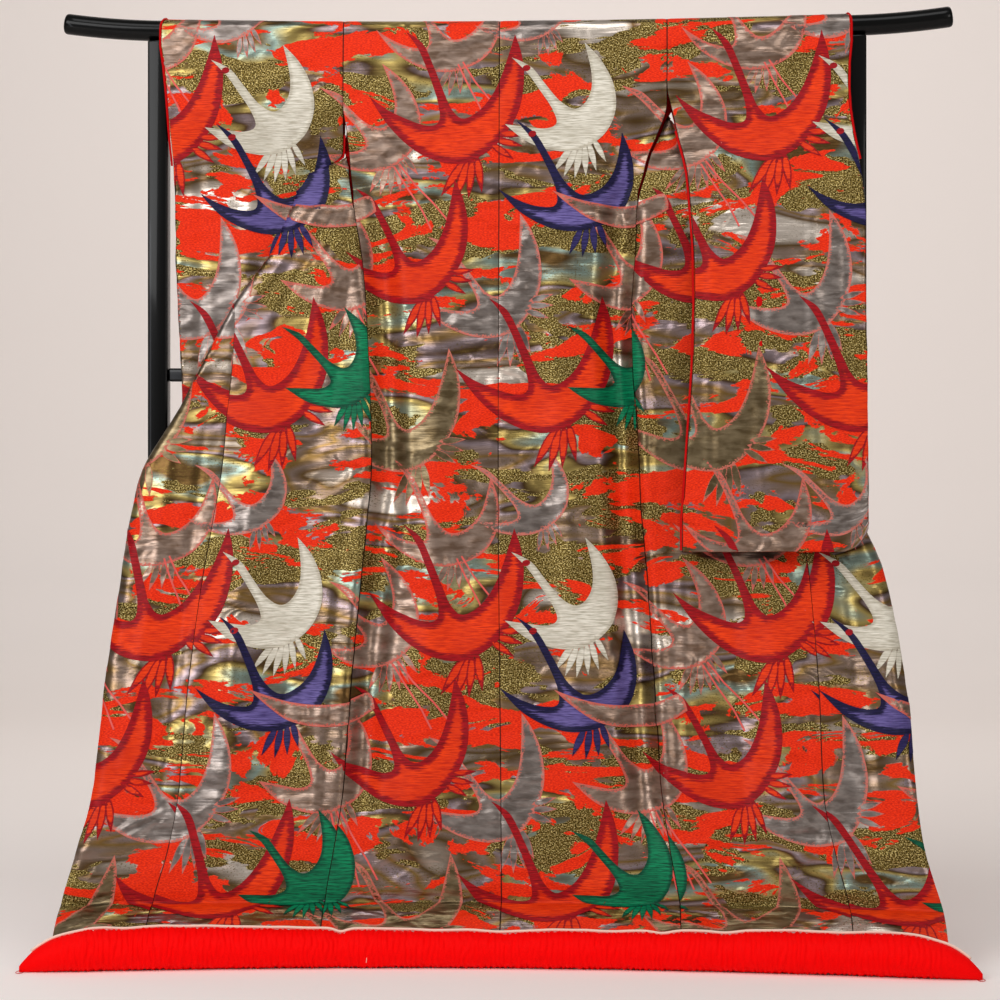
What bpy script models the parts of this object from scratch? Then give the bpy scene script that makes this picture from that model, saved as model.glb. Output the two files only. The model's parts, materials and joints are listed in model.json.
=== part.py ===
"""Uchikake wedding kimono, hung by its sleeves on a kimono rack with its back shown.

Both fronts are drawn through the underarm gaps and spread out to the sides. The left front
lies before its sleeve, the right front behind its sleeve, and the padded hem rests on the floor.
Metres, +Z up. The garment's back faces -Y, and left and right are as seen from there.
Each cloth piece is a wall built from rows of points. A row is one level across the piece.
"""
import math
from collections import namedtuple

import bmesh
import bpy
from mathutils import Vector

# Cloth
CLOTH = 0.0018
COLLAR_CLOTH = 0.0036
SEAM_GAP = 0.0003
COLLAR_WIDTH = 0.055

# Rack: bar, posts, rails and feet. Offsets are from its middle.
BAR_RADIUS = 0.0195
BAR_SIDES = 12
BAR_HALF_LENGTH = 0.840
BAR_HEIGHT = 1.725
BAR_BOW = 0.0085
BAR_TIP_RISE = 0.010
POST_OFFSET = 0.660
POST_WIDTH = 0.038
MID_RAIL_HEIGHT = 1.078
LOW_RAIL_HEIGHT = 0.165
RAIL_SIZE = 0.025
FOOT_HALF_LENGTH = 0.200
FOOT_HEIGHT = 0.050
FOOT_WIDTH = 0.046
RACK_SETBACK = 0.0790

# Garment
NECK_HALF_WIDTH = 0.100
SLEEVE_SEAM = 0.3055
CENTRE_SEAM_TOP = -0.010
CENTRE_SEAM_HEM = 0.001
UNDERARM = 1.39
OKUMI_TOP = 1.33
COLLAR_END = 0.91
HALF_WIDTH = 0.8515
HEM_SWEEP = 0.085
HEM_START = 0.14
BUCKLE_HEIGHT = 0.104
BUCKLE_TUCK = 0.006

# Padded hem roll and its piping
ROLL_SETOUT = 0.257
ROLL_STATIONS = 82
ROLL_SIDES = 10
ROLL_WRINKLE = 0.055
ROLL_SEAT = 1.03
PIPING_RADIUS = 0.0025
PIPING_REACH = 0.832
PIPING_LEAN = math.radians(24)

# Cloth over the bar, and the collar's sections from the centre back to the neck's side
WRAP_RADIUS = BAR_RADIUS + CLOTH / 2 + 0.001
NECK_SHARES = (0.0, 0.4, 0.75)

# Underarm gap: how the edges of back and fronts keep clear of each other and of the sleeves
BACK_EDGE_PULL = 0.004
LEFT_EDGE_SPILL = 0.007
RIGHT_FRONT_SETBACK = 0.022
RIGHT_FRONT_SWING = 0.024
FOLD_PASS = 0.335

# Sleeve bag: the thin lining edge, and how its layers close at the sewn edges
EDGE_RADIUS = 0.0022
SLEEVE_CLOSE = 0.003
SLEEVE_ROUND = (0.050, 0.018)

LEFT = -1
RIGHT = 1

# How far the hanging cloth stands before the rack, at each height
Depth = namedtuple("Depth", "height forward")
DEPTHS = (
    Depth(0.00, 0.196), Depth(0.14, 0.176), Depth(0.30, 0.156), Depth(0.50, 0.130),
    Depth(0.70, 0.106), Depth(0.90, 0.084), Depth(1.10, 0.066), Depth(1.30, 0.051),
    Depth(1.50, 0.038), Depth(1.60, 0.031), Depth(1.69, 0.0245), Depth(1.725, 0.0213),
)

# One side of the body at each height: the side seam, the front's own width, the outer fold or
# front edge, the fold's radius, how far it turns in degrees, and the width folded back behind it
Level = namedtuple("Level", "height side_seam front_width fold radius turn behind")
LEFT_LEVELS = (
    Level(0.00, 0.330, 0.318, 0.815, 0.030, 15, 0.0),
    Level(0.106, 0.322, 0.311, 0.796, 0.030, 20, 0.0),
    Level(0.20, 0.307, 0.301, 0.772, 0.030, 30, 0.0),
    Level(0.30, 0.292, 0.300, 0.748, 0.030, 38, 0.0),
    Level(0.50, 0.279, 0.301, 0.734, 0.028, 50, 0.0),
    Level(0.70, 0.262, 0.296, 0.712, 0.025, 65, 0.0),
    Level(0.80, 0.253, 0.289, 0.700, 0.022, 80, 0.0),
    Level(0.90, 0.246, 0.281, 0.678, 0.018, 105, 0.0),
    Level(1.00, 0.248, 0.271, 0.617, 0.014, 150, 0.0),
    Level(1.10, 0.253, 0.257, 0.567, 0.011, 180, 0.012),
    Level(1.20, 0.259, 0.249, 0.515, 0.011, 180, 0.022),
    Level(1.30, 0.268, 0.252, 0.447, 0.011, 180, 0.068),
    Level(1.40, 0.286, 0.260, 0.397, 0.011, 180, 0.118),
    Level(1.46, 0.294, 0.260, 0.388, 0.011, 180, 0.140),
    Level(1.60, 0.302, 0.260, 0.380, 0.011, 180, 0.140),
)
RIGHT_LEVELS = (
    Level(0.00, 0.340, 0.304, 0.815, 0.030, 15, 0.0),
    Level(0.106, 0.326, 0.304, 0.794, 0.030, 20, 0.0),
    Level(0.20, 0.309, 0.297, 0.766, 0.030, 30, 0.0),
    Level(0.30, 0.294, 0.293, 0.751, 0.030, 38, 0.0),
    Level(0.50, 0.280, 0.300, 0.738, 0.028, 50, 0.0),
    Level(0.70, 0.267, 0.298, 0.704, 0.025, 65, 0.0),
    Level(0.80, 0.258, 0.292, 0.667, 0.022, 100, 0.0),
    Level(0.90, 0.253, 0.283, 0.640, 0.018, 125, 0.0),
    Level(1.00, 0.248, 0.272, 0.600, 0.014, 160, 0.0),
    Level(1.10, 0.241, 0.262, 0.550, 0.011, 180, 0.014),
    Level(1.20, 0.239, 0.255, 0.500, 0.011, 180, 0.026),
    Level(1.30, 0.246, 0.256, 0.430, 0.011, 180, 0.068),
    Level(1.40, 0.251, 0.260, 0.380, 0.011, 180, 0.110),
    Level(1.46, 0.267, 0.260, 0.365, 0.011, 180, 0.130),
    Level(1.60, 0.303, 0.260, 0.360, 0.011, 180, 0.130),
)
LEVELS = {LEFT: LEFT_LEVELS, RIGHT: RIGHT_LEVELS}

# The front above the underarm: how deep its side edge hangs, where its inner edge hangs, and how
# far it is drawn out through the gap, from 0 on the far side of the bar to 1 at the underarm
Gap = namedtuple("Gap", "height side_y inner inner_y drawn_left drawn_right")
GAPS = (
    Gap(1.39, -0.046, 0.262, 0.006, 1.0, 1.0),
    Gap(1.425, -0.038, 0.240, 0.014, 1.0, 1.0),
    Gap(1.45, -0.030, 0.220, 0.021, 0.92, 1.0),
    Gap(1.47, -0.022, 0.204, 0.026, 0.62, 0.98),
    Gap(1.495, -0.010, 0.184, 0.030, 0.20, 0.94),
    Gap(1.525, 0.010, 0.164, 0.032, 0.03, 0.84),
    Gap(1.57, 0.019, 0.142, 0.031, 0.0, 0.42),
    Gap(1.63, 0.0222, 0.122, 0.029, 0.0, 0.0),
    Gap(1.69, 0.0235, 0.110, 0.027, 0.0, 0.0),
    Gap(1.725, 0.0218, 0.104, 0.022, 0.0, 0.0),
)

# Long soft folds that run down the cloth, set out from the side seam towards the front edge
Fold = namedtuple("Fold", "side from_seam half_width push top bottom")
FOLDS = (
    Fold(LEFT, -0.034, 0.046, 0.021, 1.52, 0.15),
    Fold(LEFT, 0.070, 0.090, -0.012, 1.62, 1.15),
    Fold(LEFT, -0.130, 0.060, -0.006, 1.30, 0.20),
    Fold(LEFT, 0.008, 0.034, -0.007, 1.34, 0.18),
    Fold(LEFT, 0.120, 0.070, 0.006, 1.20, 0.16),
    Fold(LEFT, 0.215, 0.060, -0.006, 1.05, 0.16),
    Fold(LEFT, 0.330, 0.050, 0.006, 0.85, 0.16),
    Fold(RIGHT, -0.030, 0.052, 0.030, 1.58, 0.15),
    Fold(RIGHT, -0.135, 0.060, -0.006, 1.40, 0.20),
    Fold(RIGHT, 0.006, 0.030, -0.008, 1.36, 0.18),
    Fold(RIGHT, 0.130, 0.060, 0.006, 1.00, 0.16),
    Fold(RIGHT, 0.230, 0.050, -0.006, 0.80, 0.16),
    Fold(RIGHT, 0.345, 0.050, 0.006, 0.72, 0.16),
)

# One sleeve at each height: its free inner edge, its outer edge, and the depths of its two layers
Sleeve = namedtuple("Sleeve", "height inner outer near_y far_y")
LEFT_SLEEVE = (
    Sleeve(0.745, 0.352, 0.610, -0.0375, -0.0320),
    Sleeve(1.05, 0.352, 0.612, -0.0275, -0.0220),
    Sleeve(1.20, 0.352, 0.620, -0.0215, -0.0160),
    Sleeve(1.30, 0.352, 0.626, -0.0150, -0.0095),
    Sleeve(1.38, 0.352, 0.627, -0.0095, -0.0035),
    Sleeve(1.42, 0.350, 0.628, -0.0080, -0.0010),
    Sleeve(1.46, 0.343, 0.630, -0.0080, 0.0030),
    Sleeve(1.475, 0.330, 0.631, -0.0095, 0.0050),
    Sleeve(1.49, 0.311, 0.632, -0.0114, 0.0075),
    Sleeve(1.50, 0.307, 0.633, -0.0130, 0.0090),
    Sleeve(1.55, SLEEVE_SEAM, 0.636, -0.0225, 0.0140),
    Sleeve(1.60, SLEEVE_SEAM, 0.639, -0.0265, 0.0180),
    Sleeve(1.66, SLEEVE_SEAM, 0.645, -0.0250, 0.0205),
    Sleeve(1.70, SLEEVE_SEAM, 0.651, -0.0240, 0.0215),
)
RIGHT_SLEEVE = (
    Sleeve(0.745, 0.331, 0.671, -0.1560, -0.1500),
    Sleeve(0.85, 0.335, 0.671, -0.1450, -0.1390),
    Sleeve(0.95, 0.342, 0.671, -0.1340, -0.1280),
    Sleeve(1.10, 0.352, 0.671, -0.1180, -0.1120),
    Sleeve(1.20, 0.355, 0.670, -0.1050, -0.0990),
    Sleeve(1.30, 0.354, 0.671, -0.0900, -0.0840),
    Sleeve(1.40, 0.347, 0.670, -0.0720, -0.0650),
    Sleeve(1.46, 0.341, 0.664, -0.0590, -0.0460),
    Sleeve(1.52, 0.326, 0.652, -0.0470, -0.0240),
    Sleeve(1.58, 0.312, 0.644, -0.0380, 0.0020),
    Sleeve(1.61, SLEEVE_SEAM, 0.643, -0.0330, 0.0140),
    Sleeve(1.66, SLEEVE_SEAM, 0.644, -0.0270, 0.0200),
    Sleeve(1.70, SLEEVE_SEAM, 0.648, -0.0245, 0.0215),
)
SLEEVES = {LEFT: LEFT_SLEEVE, RIGHT: RIGHT_SLEEVE}
SLEEVE_BOTTOM = 0.745
SLEEVE_CORNER = 0.055
WRIST_OPENING_END = 1.43
FAR_LAYER_STOP = 0.6350
POST_CLEARANCE = 0.0240
SLEEVE_HEIGHTS = (1.70, 1.66, 1.61, 1.57, 1.53, 1.50, 1.49, 1.475, 1.45, WRIST_OPENING_END, 1.39,
                  1.31, 1.20, 1.08, 0.96, 0.85)

# Half height of the padded hem roll along its length
Roll = namedtuple("Roll", "offset radius")
ROLL_SIZES = (
    Roll(0.0, 0.0325), Roll(0.30, 0.0335), Roll(0.60, 0.0370), Roll(0.72, 0.0365),
    Roll(0.79, 0.0290), Roll(0.825, 0.0190), Roll(0.8445, 0.0095), Roll(HALF_WIDTH, 0.0050),
)

UPPER_HEIGHTS = (1.69, 1.63, 1.57, 1.53, 1.505, 1.49, 1.475, 1.46, 1.44, 1.415)
LOWER_HEIGHTS = (UNDERARM, 1.36, OKUMI_TOP, 1.30, 1.27, 1.25, 1.24, 1.23, 1.22, 1.21, 1.20, 1.185, 1.165,
                 1.13, 1.09, 1.05, 1.01, 0.97, 0.94, COLLAR_END, 0.82, 0.72, 0.61, 0.50, 0.39, 0.29, 0.20)
WRAP_ANGLES = (90, 67.5, 45, 22.5, 0)
BACK_COLUMNS = (0.0, 0.22, 0.44, 0.62, 0.76, 0.86, 0.94, 1.0)
FRONT_COLUMNS = tuple(step / 10 for step in range(10)) + (0.986, 1.0)
COLLAR_COLUMNS = (0.0, 0.065, 0.5, 1.0)
OKUMI_SPANS = 6
SEAM_STRIP = 0.0035


def clear_scene():
    for item in list(bpy.data.objects):
        bpy.data.objects.remove(item, do_unlink=True)


def make_material(name, colour, roughness, metallic=0.0):
    material = bpy.data.materials.new(name)
    material.use_nodes = True
    shader = material.node_tree.nodes["Principled BSDF"]
    shader.inputs["Base Color"].default_value = (*colour, 1.0)
    shader.inputs["Roughness"].default_value = roughness
    shader.inputs["Metallic"].default_value = metallic
    return material


def smoothstep(value):
    value = min(1.0, max(0.0, value))
    return value * value * (3 - 2 * value)


def read_table(table, column, key):
    """Value of a named column at a key, on a smooth curve through the table's rows."""
    keys = [row[0] for row in table]
    values = [getattr(row, column) for row in table]
    if key <= keys[0]:
        return values[0]
    if key >= keys[-1]:
        return values[-1]
    place = max(index for index in range(len(keys) - 1) if keys[index] <= key)
    span = keys[place + 1] - keys[place]
    share = (key - keys[place]) / span

    def slope(index):
        low, high = max(0, index - 1), min(len(keys) - 1, index + 1)
        return (values[high] - values[low]) / (keys[high] - keys[low])

    start, end = values[place], values[place + 1]
    pull_start, pull_end = slope(place) * span, slope(place + 1) * span
    cube, square = share ** 3, share ** 2
    return ((2 * cube - 3 * square + 1) * start + (cube - 2 * square + share) * pull_start
            + (3 * square - 2 * cube) * end + (cube - square) * pull_end)


def bar_height(x):
    """Height of the bar's centre line, bowed under the garment and swept up at its ends."""
    bow = BAR_BOW * (x / POST_OFFSET) ** 2
    tip = max(0.0, (abs(x) - POST_OFFSET) / (BAR_HALF_LENGTH - POST_OFFSET))
    return BAR_HEIGHT + bow + BAR_TIP_RISE * tip ** 2


def bell(value):
    return math.cos(math.pi / 2 * value) ** 2 if abs(value) < 1 else 0.0


def hang_depth(side, offset, height, seam=None):
    """Y of the hanging cloth's middle surface, with its long folds."""
    forward = read_table(DEPTHS, "forward", height)
    forward += HEM_SWEEP * (offset / HALF_WIDTH) ** 2 * smoothstep((1.0 - height) / 0.93)
    y = -forward
    if seam is None:
        seam = read_table(LEVELS[side], "side_seam", height)
    for fold in FOLDS:
        if fold.side == side and fold.bottom < height < fold.top:
            fade = smoothstep((fold.top - height) / 0.25) * smoothstep((height - fold.bottom) / 0.2)
            y += fold.push * fade * bell((offset - seam - fold.from_seam) / fold.half_width)
    return y


def centre_seam(height):
    share = smoothstep((1.0 - height) / 1.0)
    return CENTRE_SEAM_TOP + (CENTRE_SEAM_HEM - CENTRE_SEAM_TOP) * share


def roll_centre(x):
    """Y, Z and radius of the padded roll at one place along it."""
    radius = read_table(ROLL_SIZES, "radius", abs(x))
    return -ROLL_SETOUT - HEM_SWEEP * (x / HALF_WIDTH) ** 2, radius, radius


def piping_centre(x):
    y, z, radius = roll_centre(x)
    taper = (roll_centre(abs(x) + 0.004)[2] - roll_centre(abs(x) - 0.004)[2]) / 0.008
    reach = radius * ROLL_SEAT + (PIPING_RADIUS + SEAM_GAP) * math.hypot(1, taper)
    reach += 0.0012 * smoothstep((abs(x) - 0.76) / 0.06)
    return y + reach * math.sin(PIPING_LEAN), z + reach * math.cos(PIPING_LEAN)


def hem_edge(x):
    """Y and Z where the cloth's lower edge meets the piping."""
    y, z = piping_centre(x)
    reach = PIPING_RADIUS + 3 * SEAM_GAP
    return y + reach * math.sin(math.radians(62)), z + reach * math.cos(math.radians(62))


def hem_rows(row_at):
    """Rows from the standing cloth, over the buckle, down the slope to the hem edge."""
    rows = [row_at(HEM_START), row_at((HEM_START + BUCKLE_HEIGHT) / 2 - 0.004)]
    buckle = [point + Vector((0, BUCKLE_TUCK, 0)) for point in row_at(BUCKLE_HEIGHT)]
    rows.append(buckle)
    for share in (0.34, 0.67, 1.0):
        row = []
        for point in buckle:
            edge_y, edge_z = hem_edge(point.x)
            lift = 0.006 * math.sin(math.pi * share)
            row.append(Vector((point.x, point.y + (edge_y - point.y) * share,
                               point.z + (edge_z - point.z) * share + lift)))
        rows.append(row)
    return rows


def side_edge(side, height):
    """Offset of the side seam or, above the underarm, of the front's free side edge."""
    seam = read_table(LEVELS[side], "side_seam", height)
    return seam + (SLEEVE_SEAM - seam) * smoothstep((height - 1.48) / 0.12)


def back_row(side, height):
    """Points from the centre seam to the side seam or, above the underarm, the free side edge."""
    centre = side * centre_seam(height)
    seam = side_edge(side, height)
    seam -= BACK_EDGE_PULL * smoothstep((height - UNDERARM) / 0.035) * smoothstep((1.58 - height) / 0.05)
    offsets = [centre + (seam - centre) * share for share in BACK_COLUMNS]
    return [Vector((side * offset, hang_depth(side, offset, height), height)) for offset in offsets]


def wrap_rows(offsets, side, toward):
    """Rows that lie over the bar from its top down to its camera side (-1) or far side (1)."""
    rows = []
    for angle in WRAP_ANGLES:
        turn = math.radians(angle)
        shift = SEAM_GAP / 2 if angle == 90 else 0.0
        row = []
        for offset in offsets:
            x = side * offset
            y = toward * (WRAP_RADIUS * math.cos(turn) + shift)
            row.append(Vector((x, y, bar_height(x) + WRAP_RADIUS * math.sin(turn))))
        rows.append(row)
    return rows


def back_rows(side):
    centre = side * CENTRE_SEAM_TOP
    offsets = [centre + (SLEEVE_SEAM - centre) * share for share in BACK_COLUMNS]
    rows = wrap_rows(offsets, side, -1)
    rows += [back_row(side, height) for height in UPPER_HEIGHTS + LOWER_HEIGHTS]
    rows += hem_rows(lambda height: back_row(side, height))
    return rows


def level_at(side, height):
    return Level(height, *[read_table(LEVELS[side], name, height) for name in Level._fields[1:]])


def path_length(level):
    """Straight run to the fold, the turn, and the width folded back behind."""
    turn = math.radians(level.turn)
    reach = level.radius * math.sin(min(turn, math.pi / 2))
    run = level.fold - level.side_seam - reach
    return run, run + level.radius * turn + level.behind


def path_point(side, level, distance, back_slope):
    """A point at a distance from the side seam along the spread front at one level."""
    run, _ = path_length(level)
    arc = level.radius * math.radians(level.turn)
    bend = min(distance, run + arc) - run
    offset, setback = level.side_seam + min(distance, run), 0.0
    base = offset
    if bend > 0:
        angle = bend / level.radius
        offset += level.radius * math.sin(angle)
        setback = level.radius * (1 - math.cos(angle))
    past = distance - run - arc
    if past > 0:
        angle = math.radians(level.turn)
        offset += past * math.cos(angle)
        setback += past * math.sin(angle) + max(0.0, FOLD_PASS - offset) * back_slope
    y = hang_depth(side, base, level.height, level.side_seam) + setback
    return Vector((side * offset, y, level.height))


def back_slope(height):
    return 0.32 * smoothstep((height - 1.22) / 0.18)


def front_split(side, height):
    """Widths of the front and of the whole sheet up to the collar, along the row."""
    level = level_at(side, height)
    _, total = path_length(level)
    if height > OKUMI_TOP + 0.01:
        return level, total, total
    return level, min(level.front_width, total - 0.004), total


def spread_row(side, height, low, high, columns):
    level = level_at(side, height)
    slope = back_slope(height)
    return [path_point(side, level, low + (high - low) * share, slope) for share in columns]


def even_points(controls, shares):
    """Points at shares of the length of a cubic curve through its four control points."""
    start, first, second, end = controls
    curve = []
    for step in range(49):
        past = step / 48
        left = 1 - past
        curve.append(start * left ** 3 + first * (3 * past * left ** 2)
                     + second * (3 * past ** 2 * left) + end * past ** 3)
    lengths = [0.0]
    for low, high in zip(curve, curve[1:]):
        lengths.append(lengths[-1] + (high - low).length)
    points = []
    for share in shares:
        reach = share * lengths[-1]
        place = max(index for index in range(48) if lengths[index] <= reach + 1e-9)
        part = (reach - lengths[place]) / (lengths[place + 1] - lengths[place])
        points.append(curve[place].lerp(curve[place + 1], part))
    return points


def gap_row(side, height, columns, extra=0.0):
    """The front above the underarm, from its side edge to its inner edge, or beyond it."""
    edge, inner_x = side_edge(side, height), read_table(GAPS, "inner", height)
    if side == RIGHT:
        inner_x -= 0.018 * smoothstep((1.6 - height) / 0.2)
    else:
        edge += LEFT_EDGE_SPILL * bell((height - 1.505) / 0.045)
    start = Vector((side * edge, read_table(GAPS, "side_y", height), height))
    inner = Vector((side * inner_x, read_table(GAPS, "inner_y", height), height))
    drawn = read_table(GAPS, "drawn_right" if side == RIGHT else "drawn_left", height)
    fold = read_table(LEVELS[side], "fold", height)
    reach = side * (8 * fold - edge - inner_x) / 6
    near_y = hang_depth(side, fold, height) - 0.004
    if side == RIGHT:
        near_y += RIGHT_FRONT_SETBACK * smoothstep((height - 1.44) / 0.08)
        start.y -= RIGHT_FRONT_SWING * bell((height - 1.53) / 0.085)
    first = start.lerp(inner, 1 / 3).lerp(Vector((reach, near_y, height)), drawn)
    second = start.lerp(inner, 2 / 3).lerp(Vector((reach, near_y + 0.020, height)), drawn)
    row = even_points((start, first, second, inner), columns)
    if extra:
        direction = (row[-1] - row[-2]).normalized()
        row = [row[-1] + direction * extra * share for share in COLLAR_COLUMNS]
    return row


def front_rows(side):
    inner = read_table(GAPS, "inner", 1.725)
    offsets = [SLEEVE_SEAM + (inner - SLEEVE_SEAM) * share for share in FRONT_COLUMNS]
    rows = wrap_rows(offsets, side, 1)
    rows += [gap_row(side, height, FRONT_COLUMNS) for height in UPPER_HEIGHTS]

    def row_at(height):
        _, width, _ = front_split(side, height)
        return spread_row(side, height, 0.0, width, FRONT_COLUMNS)

    rows += [row_at(height) for height in LOWER_HEIGHTS]
    return rows + hem_rows(row_at)


def okumi_rows(side):
    def row_at(height):
        _, width, total = front_split(side, height)
        strip = min(SEAM_STRIP / (total - width), 0.2)
        shares = (0.0, strip, 0.3, 0.55, 0.78, 1 - strip, 1.0)
        return spread_row(side, height, width, total, shares)

    rows = [row_at(height) for height in LOWER_HEIGHTS if height < OKUMI_TOP + 0.01]
    return rows + hem_rows(row_at)


def neck_rows(side):
    """The collar behind the neck, from the centre back round to the top of the front."""
    rows = []
    for share in NECK_SHARES:
        seam_x = side * NECK_HALF_WIDTH * share
        free_x = side * (NECK_HALF_WIDTH - COLLAR_WIDTH) * share
        rows.append((Vector((seam_x, 0.027, bar_height(seam_x) + 0.012)),
                     Vector((free_x, 0.030, bar_height(free_x) + 0.012 - COLLAR_WIDTH))))
    rows.append((Vector((side * 0.097, 0.028, BAR_HEIGHT + 0.004)),
                 Vector((side * 0.047, 0.031, BAR_HEIGHT - 0.047))))
    return [[seam.lerp(free, share) for share in COLLAR_COLUMNS] for seam, free in rows]


def collar_rows(side):
    rows = neck_rows(side)
    for height in UPPER_HEIGHTS:
        row = gap_row(side, height, FRONT_COLUMNS, COLLAR_WIDTH)
        drop = 0.02 * smoothstep((height - 1.6) / 0.09)
        for share, point in zip(COLLAR_COLUMNS, row):
            point.z -= share * drop
        rows.append(row)
    for height in LOWER_HEIGHTS:
        if height > COLLAR_END - 0.01:
            _, _, total = front_split(side, height)
            level = level_at(side, height)
            turned = level._replace(turn=max(level.turn, 180), behind=level.behind + 0.2)
            slope = back_slope(height)
            rows.append([path_point(side, turned, total + COLLAR_WIDTH * share, slope)
                         for share in COLLAR_COLUMNS])
    return rows


def grid_normals(rows, side):
    """Unit normals of a sheet's rows, facing the cloth's right side."""
    normals = []
    last_row, last_column = len(rows) - 1, len(rows[0]) - 1
    for row in range(last_row + 1):
        line = []
        for column in range(last_column + 1):
            down = rows[min(row + 1, last_row)][column] - rows[max(row - 1, 0)][column]
            along = rows[row][min(column + 1, last_column)] - rows[row][max(column - 1, 0)]
            line.append((down.cross(along) * side).normalized())
        normals.append(line)
    return normals


class Sheet:
    """Rows of points through the middle of one cloth piece, with the normals of its wall."""

    def __init__(self, name, side, rows, thickness, material):
        self.name, self.side, self.thickness, self.material = name, side, thickness, material
        self.rows = [[point.copy() for point in row] for row in rows]
        self.normals = grid_normals(self.rows, side)

    def stand_top_upright(self):
        """Squares the wall at the shoulder line, where back and front meet on the bar."""
        for normal in self.normals[0]:
            normal.x, normal.y, normal.z = 0.0, 0.0, 1.0

    def draw_in(self, row, column, toward):
        """Moves an edge point into its own piece, further where the seam turns over a fold."""
        above, below = max(row - 1, 0), min(row + 1, len(self.rows) - 1)
        along = self.rows[below][column] - self.rows[above][column]
        normal = self.normals[row][column]
        inward = normal.cross(along).normalized()
        if inward.dot(self.rows[row][toward] - self.rows[row][column]) < 0:
            inward.negate()
        turn = (self.normals[below][column] - self.normals[above][column]).length
        self.rows[row][column] += inward * SEAM_GAP / 2 * (1 + 4 * min(1.0, turn))


def flatten_edge(sheet, column, toward, last_row):
    """Keeps an edge's wall square to X, so that the next piece meets it face to face."""
    for row in range(last_row + 1):
        normal = sheet.normals[row][column]
        sheet.normals[row][column] = Vector((0, normal.y, normal.z)).normalized()
        sheet.draw_in(row, column, toward)


def sew(first, first_column, second, second_column, row_pairs):
    """Gives two pieces one shared wall direction along their seam, and leaves the gap."""
    first_in = first_column - 1 if first_column else 1
    second_in = second_column - 1 if second_column else 1
    for first_row, second_row in row_pairs:
        normal = first.normals[first_row][first_column] + second.normals[second_row][second_column]
        normal.normalize()
        first.normals[first_row][first_column] = normal
        second.normals[second_row][second_column] = normal.copy()
        first.draw_in(first_row, first_column, first_in)
        second.draw_in(second_row, second_column, second_in)


def make_mesh_object(name, points, faces, material):
    mesh = bpy.data.meshes.new(name)
    mesh.from_pydata([tuple(point) for point in points], [], faces)
    shape = bmesh.new()
    shape.from_mesh(mesh)
    bmesh.ops.recalc_face_normals(shape, faces=shape.faces)
    shape.to_mesh(mesh)
    shape.free()
    mesh.shade_smooth()
    mesh.set_sharp_from_angle(angle=math.radians(40))
    mesh.materials.append(material)
    item = bpy.data.objects.new(name, mesh)
    bpy.context.scene.collection.objects.link(item)
    return item


def thicken(points, normals, faces, thickness):
    """Turns a middle surface into a closed wall with rims along its open edges."""
    count = len(points)
    outer = [point + normal * thickness / 2 for point, normal in zip(points, normals)]
    inner = [point - normal * thickness / 2 for point, normal in zip(points, normals)]
    walls = [tuple(face) for face in faces]
    walls += [tuple(count + index for index in reversed(face)) for face in faces]
    edges = {}
    for face in faces:
        for start, end in zip(face, face[1:] + face[:1]):
            edges[(start, end)] = True
    for start, end in edges:
        if (end, start) in edges:
            continue
        if start < end:
            walls += [(end, start, count + end), (start, count + start, count + end)]
        else:
            walls += [(end, start, count + start), (end, count + start, count + end)]
    return outer + inner, walls


def grid_faces(row_count, column_count):
    faces = []
    for row in range(row_count - 1):
        for column in range(column_count - 1):
            corner = row * column_count + column
            faces.append((corner, corner + column_count, corner + column_count + 1, corner + 1))
    return faces


def build_sheet(sheet):
    points = [point for row in sheet.rows for point in row]
    normals = [normal for row in sheet.normals for normal in row]
    faces = grid_faces(len(sheet.rows), len(sheet.rows[0]))
    walls = thicken(points, normals, faces, sheet.thickness)
    return make_mesh_object(sheet.name, *walls, sheet.material)


def build_body(brocade, collar_cloth):
    """The four body panels, the two okumi and the two collar halves, sewn to each other."""
    wraps = len(WRAP_ANGLES)
    underarm = wraps + len(UPPER_HEIGHTS)
    okumi_start = underarm + 1
    neck = len(NECK_SHARES) + 1
    sheets = {}
    for side, word in ((LEFT, "left"), (RIGHT, "right")):
        back = Sheet("back_" + word, side, back_rows(side), CLOTH, brocade)
        front = Sheet("front_" + word, side, front_rows(side), CLOTH, brocade)
        okumi = Sheet("okumi_" + word, side, okumi_rows(side), CLOTH, brocade)
        collar = Sheet("collar_" + word, side, collar_rows(side), COLLAR_CLOTH, collar_cloth)
        back_last, front_last = len(BACK_COLUMNS) - 1, len(FRONT_COLUMNS) - 1
        seam_rows = wraps + 1
        back.stand_top_upright()
        front.stand_top_upright()
        flatten_edge(back, back_last, back_last - 1, seam_rows)
        flatten_edge(front, 0, 1, seam_rows)
        flatten_edge(back, 0, 1, len(back.rows) - 1)
        side_pairs = [(row, row) for row in range(underarm, len(back.rows))]
        sew(back, back_last, front, 0, side_pairs)
        okumi_pairs = [(row + okumi_start, row) for row in range(len(okumi.rows))]
        sew(front, front_last, okumi, 0, okumi_pairs)
        front_collar = [(row, row - wraps + neck) for row in range(wraps, okumi_start)]
        sew(front, front_last, collar, 0, front_collar)
        first = neck + len(UPPER_HEIGHTS) + 1
        okumi_collar = [(row - first, row) for row in range(first, len(collar.rows))]
        sew(okumi, OKUMI_SPANS, collar, 0, okumi_collar)
        for point, normal in zip(collar.rows[0], collar.normals[0]):
            normal.x = 0.0
            normal.normalize()
            point.x += side * SEAM_GAP / 2
        sheets[side] = (back, front, okumi, collar)
    return [build_sheet(sheet) for group in sheets.values() for sheet in group]


def sleeve_columns(side, height):
    """Offsets across a sleeve, close together at its sewn outer end."""
    inner = read_table(SLEEVES[side], "inner", height)
    outer = read_table(SLEEVES[side], "outer", height)
    fixed = [outer - gap for gap in (*SLEEVE_ROUND, SLEEVE_CLOSE, SLEEVE_CLOSE / 3, 0.0)]
    count = 4
    return [inner + (fixed[0] - inner) * step / count for step in range(count)] + fixed


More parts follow.
